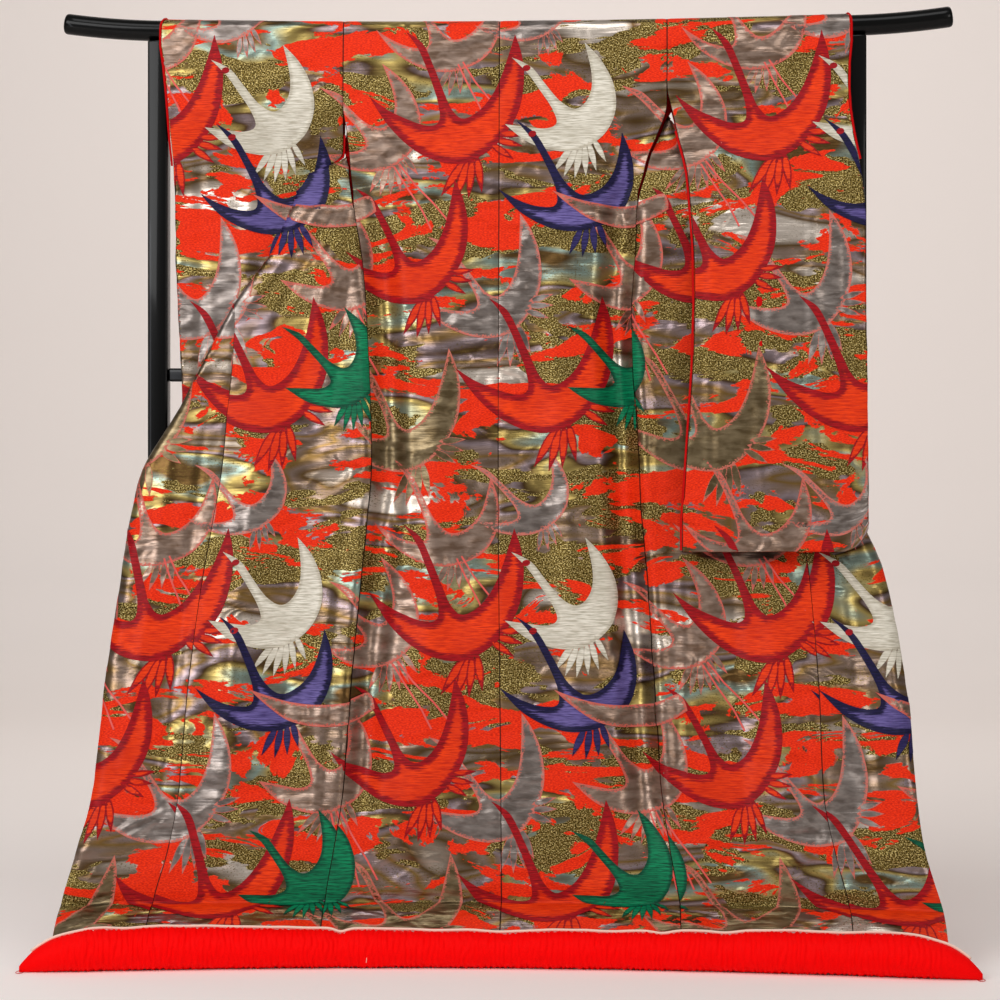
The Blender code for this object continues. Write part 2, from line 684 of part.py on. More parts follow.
def sleeve_floor(side, offset):
    """Lowest height of a sleeve at an offset, with its rounded outer corner."""
    outer = read_table(SLEEVES[side], "outer", SLEEVE_BOTTOM)
    past = offset - (outer - SLEEVE_CORNER)
    if past <= 0:
        return SLEEVE_BOTTOM
    past = min(past, SLEEVE_CORNER)
    return SLEEVE_BOTTOM + SLEEVE_CORNER - math.sqrt(SLEEVE_CORNER ** 2 - past ** 2)


def layer_point(side, offset, height, near, from_outer, from_bottom):
    """One point of a sleeve's camera-side or far layer. Both meet at the sewn edges."""
    near_y = read_table(SLEEVES[side], "near_y", height)
    far_y = read_table(SLEEVES[side], "far_y", height)
    middle, half = (near_y + far_y) / 2, (far_y - near_y) / 2
    open_end = smoothstep((height - WRIST_OPENING_END) / 0.05)
    close = math.sqrt(max(0.0, 1 - (1 - min(1.0, from_outer / SLEEVE_CLOSE)) ** 2))
    close = close + (1 - close) * open_end
    close *= math.sqrt(max(0.0, 1 - (1 - min(1.0, from_bottom / SLEEVE_CLOSE)) ** 2))
    outward = smoothstep((offset - 0.58) / 0.04) * smoothstep((height - 1.5) / 0.08)
    if near:
        y = middle - half * close
        y = y + (min(y, -POST_CLEARANCE) - y) * outward
    else:
        y = middle + half * close
        limit = FAR_LAYER_STOP + (1 - smoothstep((height - 1.45) / 0.06)) * 0.05
        offset = min(offset, limit - 0.3 * from_outer)
    return Vector((side * offset, y, height))


def sleeve_surface(side):
    """Middle surface of a sleeve bag: two layers joined over the bar and along the sewn edges."""
    top = SLEEVE_HEIGHTS[0]
    columns = len(sleeve_columns(side, top))
    near_rows, far_rows = [], []
    for near, rows in ((True, near_rows), (False, far_rows)):
        for height in SLEEVE_HEIGHTS:
            offsets = sleeve_columns(side, height)
            outer = offsets[-1]
            rows.append([layer_point(side, offset, height, near, outer - offset, 1.0)
                         for offset in offsets])
        for share, gap in ((0.5, None), (1.0, SLEEVE_CLOSE), (1.0, SLEEVE_CLOSE / 3), (1.0, 0.0)):
            row = []
            offsets = sleeve_columns(side, SLEEVE_BOTTOM)
            for offset in offsets:
                floor = sleeve_floor(side, offset)
                if gap is None:
                    height = floor + (SLEEVE_HEIGHTS[-1] - floor) * share
                    below = 1.0
                else:
                    height, below = floor + gap, gap
                point = layer_point(side, offset, height, near, offsets[-1] - offset, below)
                row.append(point)
            rows.append(row)
    over = []
    for angle in (0, 22.5, 45, 67.5, 90, 112.5, 135, 157.5, 180):
        row = []
        for near_point, far_point in zip(near_rows[0], far_rows[0]):
            turn = math.radians(angle)
            share = (1 - math.cos(turn)) / 2
            x = near_point.x + (far_point.x - near_point.x) * share
            row.append(Vector((x, -WRAP_RADIUS * math.cos(turn),
                               bar_height(x) + WRAP_RADIUS * math.sin(turn))))
        over.append(row)
    return columns, near_rows, over, far_rows


def build_sleeve(side, word, brocade):
    columns, near_rows, over, far_rows = sleeve_surface(side)
    ring = list(reversed(near_rows)) + over + far_rows
    points, index_of, faces = [], {}, []
    for place, row in enumerate(ring):
        for column, point in enumerate(row):
            key = tuple(round(value, 6) for value in point)
            if key not in index_of:
                index_of[key] = len(points)
                points.append(point)
            row[column] = key
    for upper, lower in zip(ring, ring[1:]):
        for column in range(columns - 1):
            corners = [index_of[key] for key in
                       (upper[column], lower[column], lower[column + 1], upper[column + 1])]
            unique = list(dict.fromkeys(corners))
            if len(unique) > 2:
                faces.append(tuple(unique))
    normals = [Vector((0, 0, 0)) for _ in points]
    for face in faces:
        corner = [points[index] for index in face]
        normal = (corner[1] - corner[0]).cross(corner[-1] - corner[0])
        if len(face) == 4:
            normal = (corner[2] - corner[0]).cross(corner[3] - corner[1])
        for index in face:
            normals[index] += normal.normalized()
    seam = side * (SLEEVE_SEAM + SEAM_GAP)
    for index, point in enumerate(points):
        if abs(point.x - side * SLEEVE_SEAM) < 0.0002:
            normals[index].x = 0.0
            point.x = seam
        normals[index].normalize()
    walls = thicken(points, normals, faces, CLOTH)
    return make_mesh_object("sleeve_" + word, *walls, brocade)


def tube(name, path, radii, sides, material, floor=None, wrinkle=None, up=Vector((0, 0, 1))):
    """A closed round solid along a path, with rings square to it and flat end caps."""
    points, faces = [], []
    last = len(path) - 1
    for index, centre in enumerate(path):
        along = path[min(index + 1, last)] - path[max(index - 1, 0)]
        if floor is not None:
            along.z = 0.0
        along.normalize()
        across = along.cross(up).normalized()
        rise = across.cross(along)
        for step in range(sides):
            turn = 2 * math.pi * (step + 0.5) / sides
            radius = radii[index]
            if wrinkle:
                radius *= 1 + wrinkle(index, turn)
            point = centre + (across * math.cos(turn) + rise * math.sin(turn)) * radius
            if floor is not None:
                point.z = max(point.z, floor)
            points.append(point)
    for index in range(last):
        for step in range(sides):
            start, following = index * sides + step, index * sides + (step + 1) % sides
            faces.append((start, following, following + sides, start + sides))
    faces.append(tuple(range(sides)))
    faces.append(tuple(last * sides + step for step in reversed(range(sides))))
    return make_mesh_object(name, points, faces, material)


def build_hem(padding, piping):
    """The padded red roll, gathered in small uneven wrinkles, and the piping above it."""
    stations = [HALF_WIDTH * math.sin(math.pi / 2 * (2 * step / ROLL_STATIONS - 1) * 0.92)
                / math.sin(math.pi / 2 * 0.92) for step in range(ROLL_STATIONS + 1)]
    path = [Vector((x, *roll_centre(x)[:2])) for x in stations]
    radii = [roll_centre(x)[2] for x in stations]

    def gathers(index, turn):
        drift = math.sin(index * 1.9) * 0.5 + math.sin(index * 0.73 + 1.0) * 0.3
        flip = 1.0 if index % 2 else -1.0
        return ROLL_WRINKLE * 0.5 * (flip * (0.55 + 0.45 * math.sin(index * 0.31 + turn)) + drift)

    tube("hem_roll", path, radii, ROLL_SIDES, padding, floor=0.0, wrinkle=gathers)
    count = 56
    line = []
    for step in range(count + 1):
        x = PIPING_REACH * math.sin(math.pi / 2 * (2 * step / count - 1))
        line.append(Vector((x, *piping_centre(x))))
    tube("hem_piping", line, [PIPING_RADIUS] * len(line), 5, piping)


def build_sleeve_edges(side, word, lining):
    """The thin red lining edge that shows round the wrist opening and down the free inner edge."""
    _, near_rows, over, far_rows = sleeve_surface(side)
    opening = [index for index, height in enumerate(SLEEVE_HEIGHTS) if height > 1.46]
    step_out = Vector((side * (EDGE_RADIUS + 0.0004), 0, 0))
    sideways = Vector((1, 0, 0))
    cuff = [near_rows[index][-1] for index in reversed(opening)]
    for row in over:
        outward = Vector((0, row[-1].y, row[-1].z - bar_height(row[-1].x))).normalized()
        cuff.append(row[-1] + outward * 0.0015)
    cuff += [far_rows[index][-1] for index in opening if SLEEVE_HEIGHTS[index] > 1.52]
    cuff = [point + step_out for point in cuff]
    tube("cuff_" + word, cuff, [EDGE_RADIUS] * len(cuff), 5, lining, up=sideways)
    free = [index for index, height in enumerate(SLEEVE_HEIGHTS) if height < 1.56]
    free += list(range(len(SLEEVE_HEIGHTS), len(near_rows)))
    edge = []
    for index in free[:-2]:
        above, below = near_rows[max(index - 1, 0)][0], near_rows[index + 1][0]
        lean = (above.x - below.x) / (above.z - below.z)
        edge.append(near_rows[index][0] - step_out * math.hypot(1, 1.3 * lean))
    tube("inner_edge_" + word, edge, [EDGE_RADIUS] * len(edge), 5, lining, up=sideways)


def beveled_box(name, size, place, bevel, material):
    shape = bmesh.new()
    bmesh.ops.create_cube(shape, size=1.0)
    bmesh.ops.scale(shape, vec=Vector(size), verts=shape.verts)
    bmesh.ops.bevel(shape, geom=shape.edges[:], offset=bevel, segments=1, affect="EDGES", profile=0.5)
    mesh = bpy.data.meshes.new(name)
    shape.to_mesh(mesh)
    shape.free()
    mesh.shade_smooth()
    mesh.set_sharp_from_angle(angle=math.radians(40))
    mesh.materials.append(material)
    item = bpy.data.objects.new(name, mesh)
    item.location = place
    bpy.context.scene.collection.objects.link(item)
    return item


def build_rack(lacquer):
    count = 18
    stations = [BAR_HALF_LENGTH * (2 * step / count - 1) for step in range(count + 1)]
    stations = [-BAR_HALF_LENGTH] + [x * 0.994 for x in stations] + [BAR_HALF_LENGTH]
    path = [Vector((x, 0, bar_height(x))) for x in stations]
    radii = [BAR_RADIUS] * len(path)
    radii[0] = radii[-1] = BAR_RADIUS * 0.8
    tube("top_bar", path, radii, BAR_SIDES, lacquer)
    underside = BAR_RADIUS * math.cos(math.pi / BAR_SIDES)
    post_top = bar_height(POST_OFFSET - POST_WIDTH / 2) - underside - SEAM_GAP
    post_foot = FOOT_HEIGHT + SEAM_GAP
    inner_length = 2 * POST_OFFSET - POST_WIDTH - 2 * SEAM_GAP
    for side, word in ((LEFT, "left"), (RIGHT, "right")):
        x = side * POST_OFFSET
        beveled_box("post_" + word, (POST_WIDTH, POST_WIDTH, post_top - post_foot),
                    (x, 0, (post_top + post_foot) / 2), 0.003, lacquer)
        beveled_box("foot_" + word, (FOOT_WIDTH, 2 * FOOT_HALF_LENGTH, FOOT_HEIGHT),
                    (x, 0, FOOT_HEIGHT / 2), 0.004, lacquer)
    for name, height in (("mid_rail", MID_RAIL_HEIGHT), ("low_rail", LOW_RAIL_HEIGHT)):
        beveled_box(name, (inner_length, RAIL_SIZE, RAIL_SIZE), (0, 0, height), 0.003, lacquer)


def main():
    clear_scene()
    brocade = make_material("brocade", (0.62, 0.16, 0.06), 0.45, 0.3)
    collar_cloth = make_material("collar_brocade", (0.45, 0.30, 0.10), 0.5, 0.3)
    lining = make_material("red_lining", (0.75, 0.01, 0.01), 0.5)
    padding = make_material("red_padded_silk", (0.80, 0.01, 0.01), 0.45)
    piping = make_material("cream_piping", (0.90, 0.78, 0.66), 0.6)
    lacquer = make_material("black_lacquer", (0.01, 0.01, 0.012), 0.15)
    build_body(brocade, collar_cloth)
    for side, word in ((LEFT, "left"), (RIGHT, "right")):
        build_sleeve(side, word, brocade)
        build_sleeve_edges(side, word, lining)
    build_hem(padding, piping)
    build_rack(lacquer)
    frame = bpy.data.objects.new("kimono_on_rack", None)
    frame.location = (0, RACK_SETBACK, 0)
    bpy.context.scene.collection.objects.link(frame)
    for item in list(bpy.context.scene.objects):
        if item.type == "MESH":
            item.parent = frame
    bpy.context.view_layer.update()


main()
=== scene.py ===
"""Looks of an uchikake wedding kimono that hangs by its sleeves on a black lacquered kimono rack.

The cloth follows the same sections as the solids, drawn finer, with the creases of heavy brocade.
U runs across the bolts of cloth and V runs down them, both in metres, and they carry the weave.
Metres, +Z up. The garment's back faces -Y, and left and right are as seen from there.
"""
import json
import math
from collections import namedtuple

import bmesh
import bpy
import numpy as np
from mathutils import Vector, noise
from mathutils.geometry import delaunay_2d_cdt
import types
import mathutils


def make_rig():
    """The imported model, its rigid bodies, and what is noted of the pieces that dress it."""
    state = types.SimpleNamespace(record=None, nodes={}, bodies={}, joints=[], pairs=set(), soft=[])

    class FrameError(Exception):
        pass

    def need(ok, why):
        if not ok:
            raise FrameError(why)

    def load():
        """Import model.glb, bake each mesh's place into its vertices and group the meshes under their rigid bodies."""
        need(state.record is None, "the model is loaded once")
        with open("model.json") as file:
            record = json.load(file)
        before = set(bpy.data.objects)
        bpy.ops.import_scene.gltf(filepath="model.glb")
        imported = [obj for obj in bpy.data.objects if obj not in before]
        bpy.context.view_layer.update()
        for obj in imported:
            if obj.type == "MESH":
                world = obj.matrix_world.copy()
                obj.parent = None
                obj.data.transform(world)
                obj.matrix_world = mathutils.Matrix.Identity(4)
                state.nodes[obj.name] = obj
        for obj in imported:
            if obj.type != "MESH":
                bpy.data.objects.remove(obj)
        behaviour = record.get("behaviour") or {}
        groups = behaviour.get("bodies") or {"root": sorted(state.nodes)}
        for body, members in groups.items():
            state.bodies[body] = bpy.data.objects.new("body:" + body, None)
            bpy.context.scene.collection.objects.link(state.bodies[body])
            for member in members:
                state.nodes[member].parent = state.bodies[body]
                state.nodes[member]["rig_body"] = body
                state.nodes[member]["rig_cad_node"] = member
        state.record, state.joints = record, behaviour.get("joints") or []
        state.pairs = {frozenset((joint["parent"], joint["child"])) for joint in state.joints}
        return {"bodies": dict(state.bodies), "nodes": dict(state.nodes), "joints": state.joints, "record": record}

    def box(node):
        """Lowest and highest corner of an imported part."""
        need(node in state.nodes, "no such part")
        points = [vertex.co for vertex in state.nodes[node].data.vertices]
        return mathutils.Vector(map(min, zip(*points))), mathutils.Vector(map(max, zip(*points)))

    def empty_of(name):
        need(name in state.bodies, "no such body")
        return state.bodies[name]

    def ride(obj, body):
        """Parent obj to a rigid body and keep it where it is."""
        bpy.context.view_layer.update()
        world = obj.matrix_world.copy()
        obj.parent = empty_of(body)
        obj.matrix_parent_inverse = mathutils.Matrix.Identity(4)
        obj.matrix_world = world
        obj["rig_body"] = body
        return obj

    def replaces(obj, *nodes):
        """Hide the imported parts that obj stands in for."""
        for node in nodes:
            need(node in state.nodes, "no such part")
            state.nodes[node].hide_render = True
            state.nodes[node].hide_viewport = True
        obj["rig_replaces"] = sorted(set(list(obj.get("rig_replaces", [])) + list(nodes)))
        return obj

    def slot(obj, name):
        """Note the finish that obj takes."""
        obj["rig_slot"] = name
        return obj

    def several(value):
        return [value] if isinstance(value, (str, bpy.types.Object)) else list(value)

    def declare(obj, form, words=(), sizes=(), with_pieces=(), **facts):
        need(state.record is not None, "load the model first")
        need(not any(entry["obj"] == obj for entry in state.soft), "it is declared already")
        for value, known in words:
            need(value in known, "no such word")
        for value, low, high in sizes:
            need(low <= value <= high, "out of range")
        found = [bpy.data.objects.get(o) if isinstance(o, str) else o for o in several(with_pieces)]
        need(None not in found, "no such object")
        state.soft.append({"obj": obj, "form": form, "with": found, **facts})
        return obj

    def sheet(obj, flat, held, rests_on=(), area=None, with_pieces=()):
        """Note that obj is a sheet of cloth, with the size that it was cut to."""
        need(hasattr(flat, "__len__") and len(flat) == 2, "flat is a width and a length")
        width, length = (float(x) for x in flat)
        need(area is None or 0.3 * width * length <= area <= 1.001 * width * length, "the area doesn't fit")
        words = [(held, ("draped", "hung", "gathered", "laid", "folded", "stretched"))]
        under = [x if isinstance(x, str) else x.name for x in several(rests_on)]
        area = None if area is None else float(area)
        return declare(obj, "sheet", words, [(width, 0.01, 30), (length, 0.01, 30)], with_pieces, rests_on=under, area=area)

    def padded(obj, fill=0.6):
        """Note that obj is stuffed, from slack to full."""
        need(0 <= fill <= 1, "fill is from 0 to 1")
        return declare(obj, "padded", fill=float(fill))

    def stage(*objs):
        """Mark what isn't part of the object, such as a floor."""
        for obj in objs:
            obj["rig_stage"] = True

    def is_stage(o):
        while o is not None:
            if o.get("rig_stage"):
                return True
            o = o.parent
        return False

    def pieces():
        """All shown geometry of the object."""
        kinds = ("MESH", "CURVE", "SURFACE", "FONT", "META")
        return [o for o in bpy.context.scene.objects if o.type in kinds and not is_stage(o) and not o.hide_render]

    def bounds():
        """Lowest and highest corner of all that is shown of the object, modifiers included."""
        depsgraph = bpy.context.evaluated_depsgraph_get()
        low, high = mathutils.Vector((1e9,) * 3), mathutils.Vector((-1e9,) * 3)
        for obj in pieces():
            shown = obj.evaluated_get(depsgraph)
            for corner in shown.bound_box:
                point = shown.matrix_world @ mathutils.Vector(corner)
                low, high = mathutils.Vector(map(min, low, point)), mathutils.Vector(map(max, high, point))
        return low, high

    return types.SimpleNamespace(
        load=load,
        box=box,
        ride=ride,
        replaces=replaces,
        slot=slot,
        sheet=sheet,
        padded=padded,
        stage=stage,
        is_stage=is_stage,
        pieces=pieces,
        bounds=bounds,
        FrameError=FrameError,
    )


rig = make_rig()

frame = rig.load()
cad_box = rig.bounds()

# Cloth
CLOTH = 0.0018
SEAM_GAP = 0.0003
COLLAR_WIDTH = 0.055

# The rack's bar and posts, with offsets from its middle, and how far it stands behind the frame's origin
BAR_RADIUS = 0.0195
BAR_HALF_LENGTH = 0.840
BAR_HEIGHT = 1.725
BAR_BOW = 0.0085
BAR_TIP_RISE = 0.010
POST_OFFSET = 0.660
RACK_SETBACK = 0.0790

# Garment
NECK_HALF_WIDTH = 0.100
NECK_SHARES = (0.0, 0.4, 0.75)
SLEEVE_SEAM = 0.3055
CENTRE_SEAM_TOP = -0.010
CENTRE_SEAM_HEM = 0.001
UNDERARM = 1.39
OKUMI_TOP = 1.33
COLLAR_END = 0.91
HALF_WIDTH = 0.8515
HEM_SWEEP = 0.085
SWEEP_TOP = 1.0
SWEEP_HEIGHT = 0.93
HEM_START = 0.14
BUCKLE_HEIGHT = 0.104
BUCKLE_TUCK = 0.006

# Cloth over the bar, and a front's folded-back edge, which leans away inside an offset
WRAP_RADIUS = BAR_RADIUS + CLOTH / 2 + 0.001
WRAP_END = 1.722
FOLD_PASS = 0.335
BACK_LEAN = 0.32

# Edges round the underarm, moved so that the lining closes the gap between back, front and sleeve
BACK_EDGE_PULL = 0.004
LEFT_EDGE_SPILL = 0.007
RIGHT_EDGE_SPILL = 0.012
RIGHT_FRONT_SETBACK = 0.022
RIGHT_FRONT_SWING = 0.024

# Padded hem roll and its piping
ROLL_SETOUT = 0.257
ROLL_SEAT = 1.03
PIPING_RADIUS = 0.0025
PIPING_REACH = 0.832
PIPING_LEAN = math.radians(24)
HEM_LEAN = math.radians(62)

LEFT = -1
RIGHT = 1

# How far the hanging cloth stands before the rack, at each height
Depth = namedtuple("Depth", "height forward")
DEPTHS = (
    Depth(0.00, 0.196), Depth(0.14, 0.176), Depth(0.30, 0.156), Depth(0.50, 0.130),
    Depth(0.70, 0.106), Depth(0.90, 0.084), Depth(1.10, 0.066), Depth(1.30, 0.051),
    Depth(1.50, 0.038), Depth(1.60, 0.031), Depth(1.69, 0.0245), Depth(1.725, 0.0213),
)

# One side of the body at each height: the side seam, the front's own width, the outer fold or
# front edge, the fold's radius, how far it turns in degrees, and the width folded back behind it
Level = namedtuple("Level", "height side_seam front_width fold radius turn behind")
LEFT_LEVELS = (
    Level(0.00, 0.330, 0.318, 0.815, 0.030, 15, 0.0),
    Level(0.106, 0.322, 0.311, 0.796, 0.030, 20, 0.0),
    Level(0.20, 0.307, 0.301, 0.772, 0.030, 30, 0.0),
    Level(0.30, 0.292, 0.300, 0.748, 0.030, 38, 0.0),
    Level(0.50, 0.279, 0.301, 0.734, 0.028, 50, 0.0),
    Level(0.70, 0.262, 0.296, 0.712, 0.025, 65, 0.0),
    Level(0.80, 0.253, 0.289, 0.700, 0.022, 80, 0.0),
    Level(0.90, 0.246, 0.281, 0.678, 0.018, 105, 0.0),
    Level(1.00, 0.248, 0.271, 0.617, 0.014, 150, 0.0),
    Level(1.10, 0.253, 0.257, 0.567, 0.011, 180, 0.012),
    Level(1.20, 0.259, 0.249, 0.515, 0.011, 180, 0.022),
    Level(1.30, 0.268, 0.252, 0.447, 0.011, 180, 0.068),
    Level(1.40, 0.286, 0.260, 0.397, 0.011, 180, 0.118),
    Level(1.46, 0.294, 0.260, 0.388, 0.011, 180, 0.140),
    Level(1.60, 0.302, 0.260, 0.380, 0.011, 180, 0.140),
)
RIGHT_LEVELS = (
    Level(0.00, 0.340, 0.304, 0.815, 0.030, 15, 0.0),
    Level(0.106, 0.326, 0.304, 0.794, 0.030, 20, 0.0),
    Level(0.20, 0.309, 0.297, 0.766, 0.030, 30, 0.0),
    Level(0.30, 0.294, 0.293, 0.751, 0.030, 38, 0.0),
    Level(0.50, 0.280, 0.300, 0.738, 0.028, 50, 0.0),
    Level(0.70, 0.267, 0.298, 0.704, 0.025, 65, 0.0),
    Level(0.80, 0.258, 0.292, 0.667, 0.022, 100, 0.0),
    Level(0.90, 0.253, 0.283, 0.640, 0.018, 125, 0.0),
    Level(1.00, 0.248, 0.272, 0.600, 0.014, 160, 0.0),
    Level(1.10, 0.241, 0.262, 0.550, 0.011, 180, 0.014),
    Level(1.20, 0.239, 0.255, 0.500, 0.011, 180, 0.026),
    Level(1.30, 0.246, 0.256, 0.430, 0.011, 180, 0.068),
    Level(1.40, 0.251, 0.260, 0.380, 0.011, 180, 0.110),
    Level(1.46, 0.267, 0.260, 0.365, 0.011, 180, 0.130),
    Level(1.60, 0.303, 0.260, 0.360, 0.011, 180, 0.130),
)
LEVELS = {LEFT: LEFT_LEVELS, RIGHT: RIGHT_LEVELS}

# The front above the underarm: how deep its side edge hangs, where its inner edge hangs, and how
# far it is drawn out through the gap, from 0 on the far side of the bar to 1 at the underarm
Gap = namedtuple("Gap", "height side_y inner inner_y drawn_left drawn_right")
GAPS = (
    Gap(1.39, -0.046, 0.262, 0.006, 1.0, 1.0),
    Gap(1.425, -0.038, 0.240, 0.014, 1.0, 1.0),
    Gap(1.45, -0.030, 0.220, 0.021, 0.92, 1.0),
    Gap(1.47, -0.022, 0.204, 0.026, 0.62, 0.98),
    Gap(1.495, -0.010, 0.184, 0.030, 0.20, 0.94),
    Gap(1.525, 0.010, 0.164, 0.032, 0.03, 0.84),
    Gap(1.57, 0.019, 0.142, 0.031, 0.0, 0.42),
    Gap(1.63, 0.0222, 0.122, 0.029, 0.0, 0.0),
    Gap(1.69, 0.0235, 0.110, 0.027, 0.0, 0.0),
    Gap(1.725, 0.0218, 0.104, 0.022, 0.0, 0.0),
)

# Long soft folds that run down the cloth, set out from the side seam towards the front edge
Fold = namedtuple("Fold", "side from_seam half_width push top bottom")
FOLDS = (
    Fold(LEFT, -0.034, 0.046, 0.021, 1.52, 0.15),
    Fold(LEFT, 0.070, 0.090, -0.012, 1.62, 1.15),
    Fold(LEFT, -0.130, 0.060, -0.006, 1.30, 0.20),
    Fold(LEFT, 0.008, 0.034, -0.007, 1.34, 0.18),
    Fold(LEFT, 0.120, 0.070, 0.006, 1.20, 0.16),
    Fold(LEFT, 0.215, 0.060, -0.006, 1.05, 0.16),
    Fold(LEFT, 0.330, 0.050, 0.006, 0.85, 0.16),
    Fold(RIGHT, -0.030, 0.052, 0.030, 1.58, 0.15),
    Fold(RIGHT, -0.135, 0.060, -0.006, 1.40, 0.20),
    Fold(RIGHT, 0.006, 0.030, -0.008, 1.36, 0.18),
    Fold(RIGHT, 0.130, 0.060, 0.006, 1.00, 0.16),
    Fold(RIGHT, 0.230, 0.050, -0.006, 0.80, 0.16),
    Fold(RIGHT, 0.345, 0.050, 0.006, 0.72, 0.16),
)

FOLD_TOP_FADE = 0.25
FOLD_BOTTOM_FADE = 0.2

# One sleeve at each height: its free inner edge, its outer edge, and the depths of its two layers
Sleeve = namedtuple("Sleeve", "height inner outer near_y far_y")
LEFT_SLEEVE = (
    Sleeve(0.745, 0.352, 0.610, -0.0375, -0.0320),
    Sleeve(1.05, 0.352, 0.612, -0.0275, -0.0220),
    Sleeve(1.20, 0.352, 0.620, -0.0215, -0.0160),
    Sleeve(1.30, 0.352, 0.626, -0.0150, -0.0095),
    Sleeve(1.38, 0.352, 0.627, -0.0095, -0.0035),
    Sleeve(1.42, 0.350, 0.628, -0.0080, -0.0010),
    Sleeve(1.46, 0.343, 0.630, -0.0080, 0.0030),
    Sleeve(1.475, 0.330, 0.631, -0.0095, 0.0050),
    Sleeve(1.49, 0.311, 0.632, -0.0114, 0.0075),
    Sleeve(1.50, 0.307, 0.633, -0.0130, 0.0090),
    Sleeve(1.55, SLEEVE_SEAM, 0.636, -0.0225, 0.0140),
    Sleeve(1.60, SLEEVE_SEAM, 0.639, -0.0265, 0.0180),
    Sleeve(1.66, SLEEVE_SEAM, 0.645, -0.0250, 0.0205),
    Sleeve(1.70, SLEEVE_SEAM, 0.651, -0.0240, 0.0215),
)
RIGHT_SLEEVE = (
    Sleeve(0.745, 0.331, 0.671, -0.1560, -0.1500),
    Sleeve(0.85, 0.335, 0.671, -0.1450, -0.1390),
    Sleeve(0.95, 0.342, 0.671, -0.1340, -0.1280),
    Sleeve(1.10, 0.352, 0.671, -0.1180, -0.1120),
    Sleeve(1.20, 0.355, 0.670, -0.1050, -0.0990),
    Sleeve(1.30, 0.354, 0.671, -0.0900, -0.0840),
    Sleeve(1.40, 0.347, 0.670, -0.0720, -0.0650),
    Sleeve(1.46, 0.341, 0.664, -0.0590, -0.0460),
    Sleeve(1.52, 0.326, 0.652, -0.0470, -0.0240),
    Sleeve(1.58, 0.312, 0.644, -0.0380, 0.0020),
    Sleeve(1.61, SLEEVE_SEAM, 0.643, -0.0330, 0.0140),
    Sleeve(1.66, SLEEVE_SEAM, 0.644, -0.0270, 0.0200),
    Sleeve(1.70, SLEEVE_SEAM, 0.648, -0.0245, 0.0215),
)
SLEEVES = {LEFT: LEFT_SLEEVE, RIGHT: RIGHT_SLEEVE}
SLEEVE_BOTTOM = 0.745
SLEEVE_CORNER = 0.055
SLEEVE_CLOSE = 0.003
WRIST_OPENING_END = 1.43
FAR_LAYER_STOP = 0.6350
POST_CLEARANCE = 0.0240

# Half height of the padded hem roll along its length
Roll = namedtuple("Roll", "offset radius")
ROLL_SIZES = (
    Roll(0.0, 0.0325), Roll(0.30, 0.0335), Roll(0.60, 0.0370), Roll(0.72, 0.0365),
    Roll(0.79, 0.0290), Roll(0.825, 0.0190), Roll(0.8445, 0.0095), Roll(HALF_WIDTH, 0.0050),
)


CURVE_PARTS = 48


def spread(count):
    """Even shares from 0 to 1."""
    return [step / count for step in range(count + 1)]


def smoothstep(value):
    """0 below 0 and 1 above 1, with a soft rise between them."""
    value = min(1.0, max(0.0, value))
    return value * value * (3 - 2 * value)


def read_table(table, column, key):
    """Value of a named column at a key, on a smooth curve through the table's rows."""
    keys = [row[0] for row in table]
    values = [getattr(row, column) for row in table]
    if key <= keys[0]:
        return values[0]
    if key >= keys[-1]:
        return values[-1]
    place = max(index for index in range(len(keys) - 1) if keys[index] <= key)
    span = keys[place + 1] - keys[place]
    share = (key - keys[place]) / span

    def slope(index):
        low, high = max(0, index - 1), min(len(keys) - 1, index + 1)
        return (values[high] - values[low]) / (keys[high] - keys[low])

    start, end = values[place], values[place + 1]
    pull_start, pull_end = slope(place) * span, slope(place + 1) * span
    cube, square = share ** 3, share ** 2
    return ((2 * cube - 3 * square + 1) * start + (cube - 2 * square + share) * pull_start
            + (3 * square - 2 * cube) * end + (cube - square) * pull_end)


def bar_height(x):
    """Height of the bar's centre line, bowed under the garment and swept up at its ends."""
    bow = BAR_BOW * (x / POST_OFFSET) ** 2
    tip = max(0.0, (abs(x) - POST_OFFSET) / (BAR_HALF_LENGTH - POST_OFFSET))
    return BAR_HEIGHT + bow + BAR_TIP_RISE * tip ** 2


def bell(value):
    """1 at 0, falling softly to 0 at 1 and -1."""
    return math.cos(math.pi / 2 * value) ** 2 if abs(value) < 1 else 0.0


def hang_depth(side, offset, height, seam=None):
    """Y of the hanging cloth's middle surface, with its long folds."""
    forward = read_table(DEPTHS, "forward", height)
    forward += HEM_SWEEP * (offset / HALF_WIDTH) ** 2 * smoothstep((SWEEP_TOP - height) / SWEEP_HEIGHT)
    y = -forward
    if seam is None:
        seam = read_table(LEVELS[side], "side_seam", height)
    for fold in FOLDS:
        if fold.side == side and fold.bottom < height < fold.top:
            fade = smoothstep((fold.top - height) / FOLD_TOP_FADE)
            fade *= smoothstep((height - fold.bottom) / FOLD_BOTTOM_FADE)
            y += fold.push * fade * bell((offset - seam - fold.from_seam) / fold.half_width)
    return y


def centre_seam(height):
    share = smoothstep(1.0 - height)
    return CENTRE_SEAM_TOP + (CENTRE_SEAM_HEM - CENTRE_SEAM_TOP) * share


def roll_centre(x):
    """Y, Z and radius of the padded roll at one place along it."""
    radius = read_table(ROLL_SIZES, "radius", abs(x))
    return -ROLL_SETOUT - HEM_SWEEP * (x / HALF_WIDTH) ** 2, radius, radius


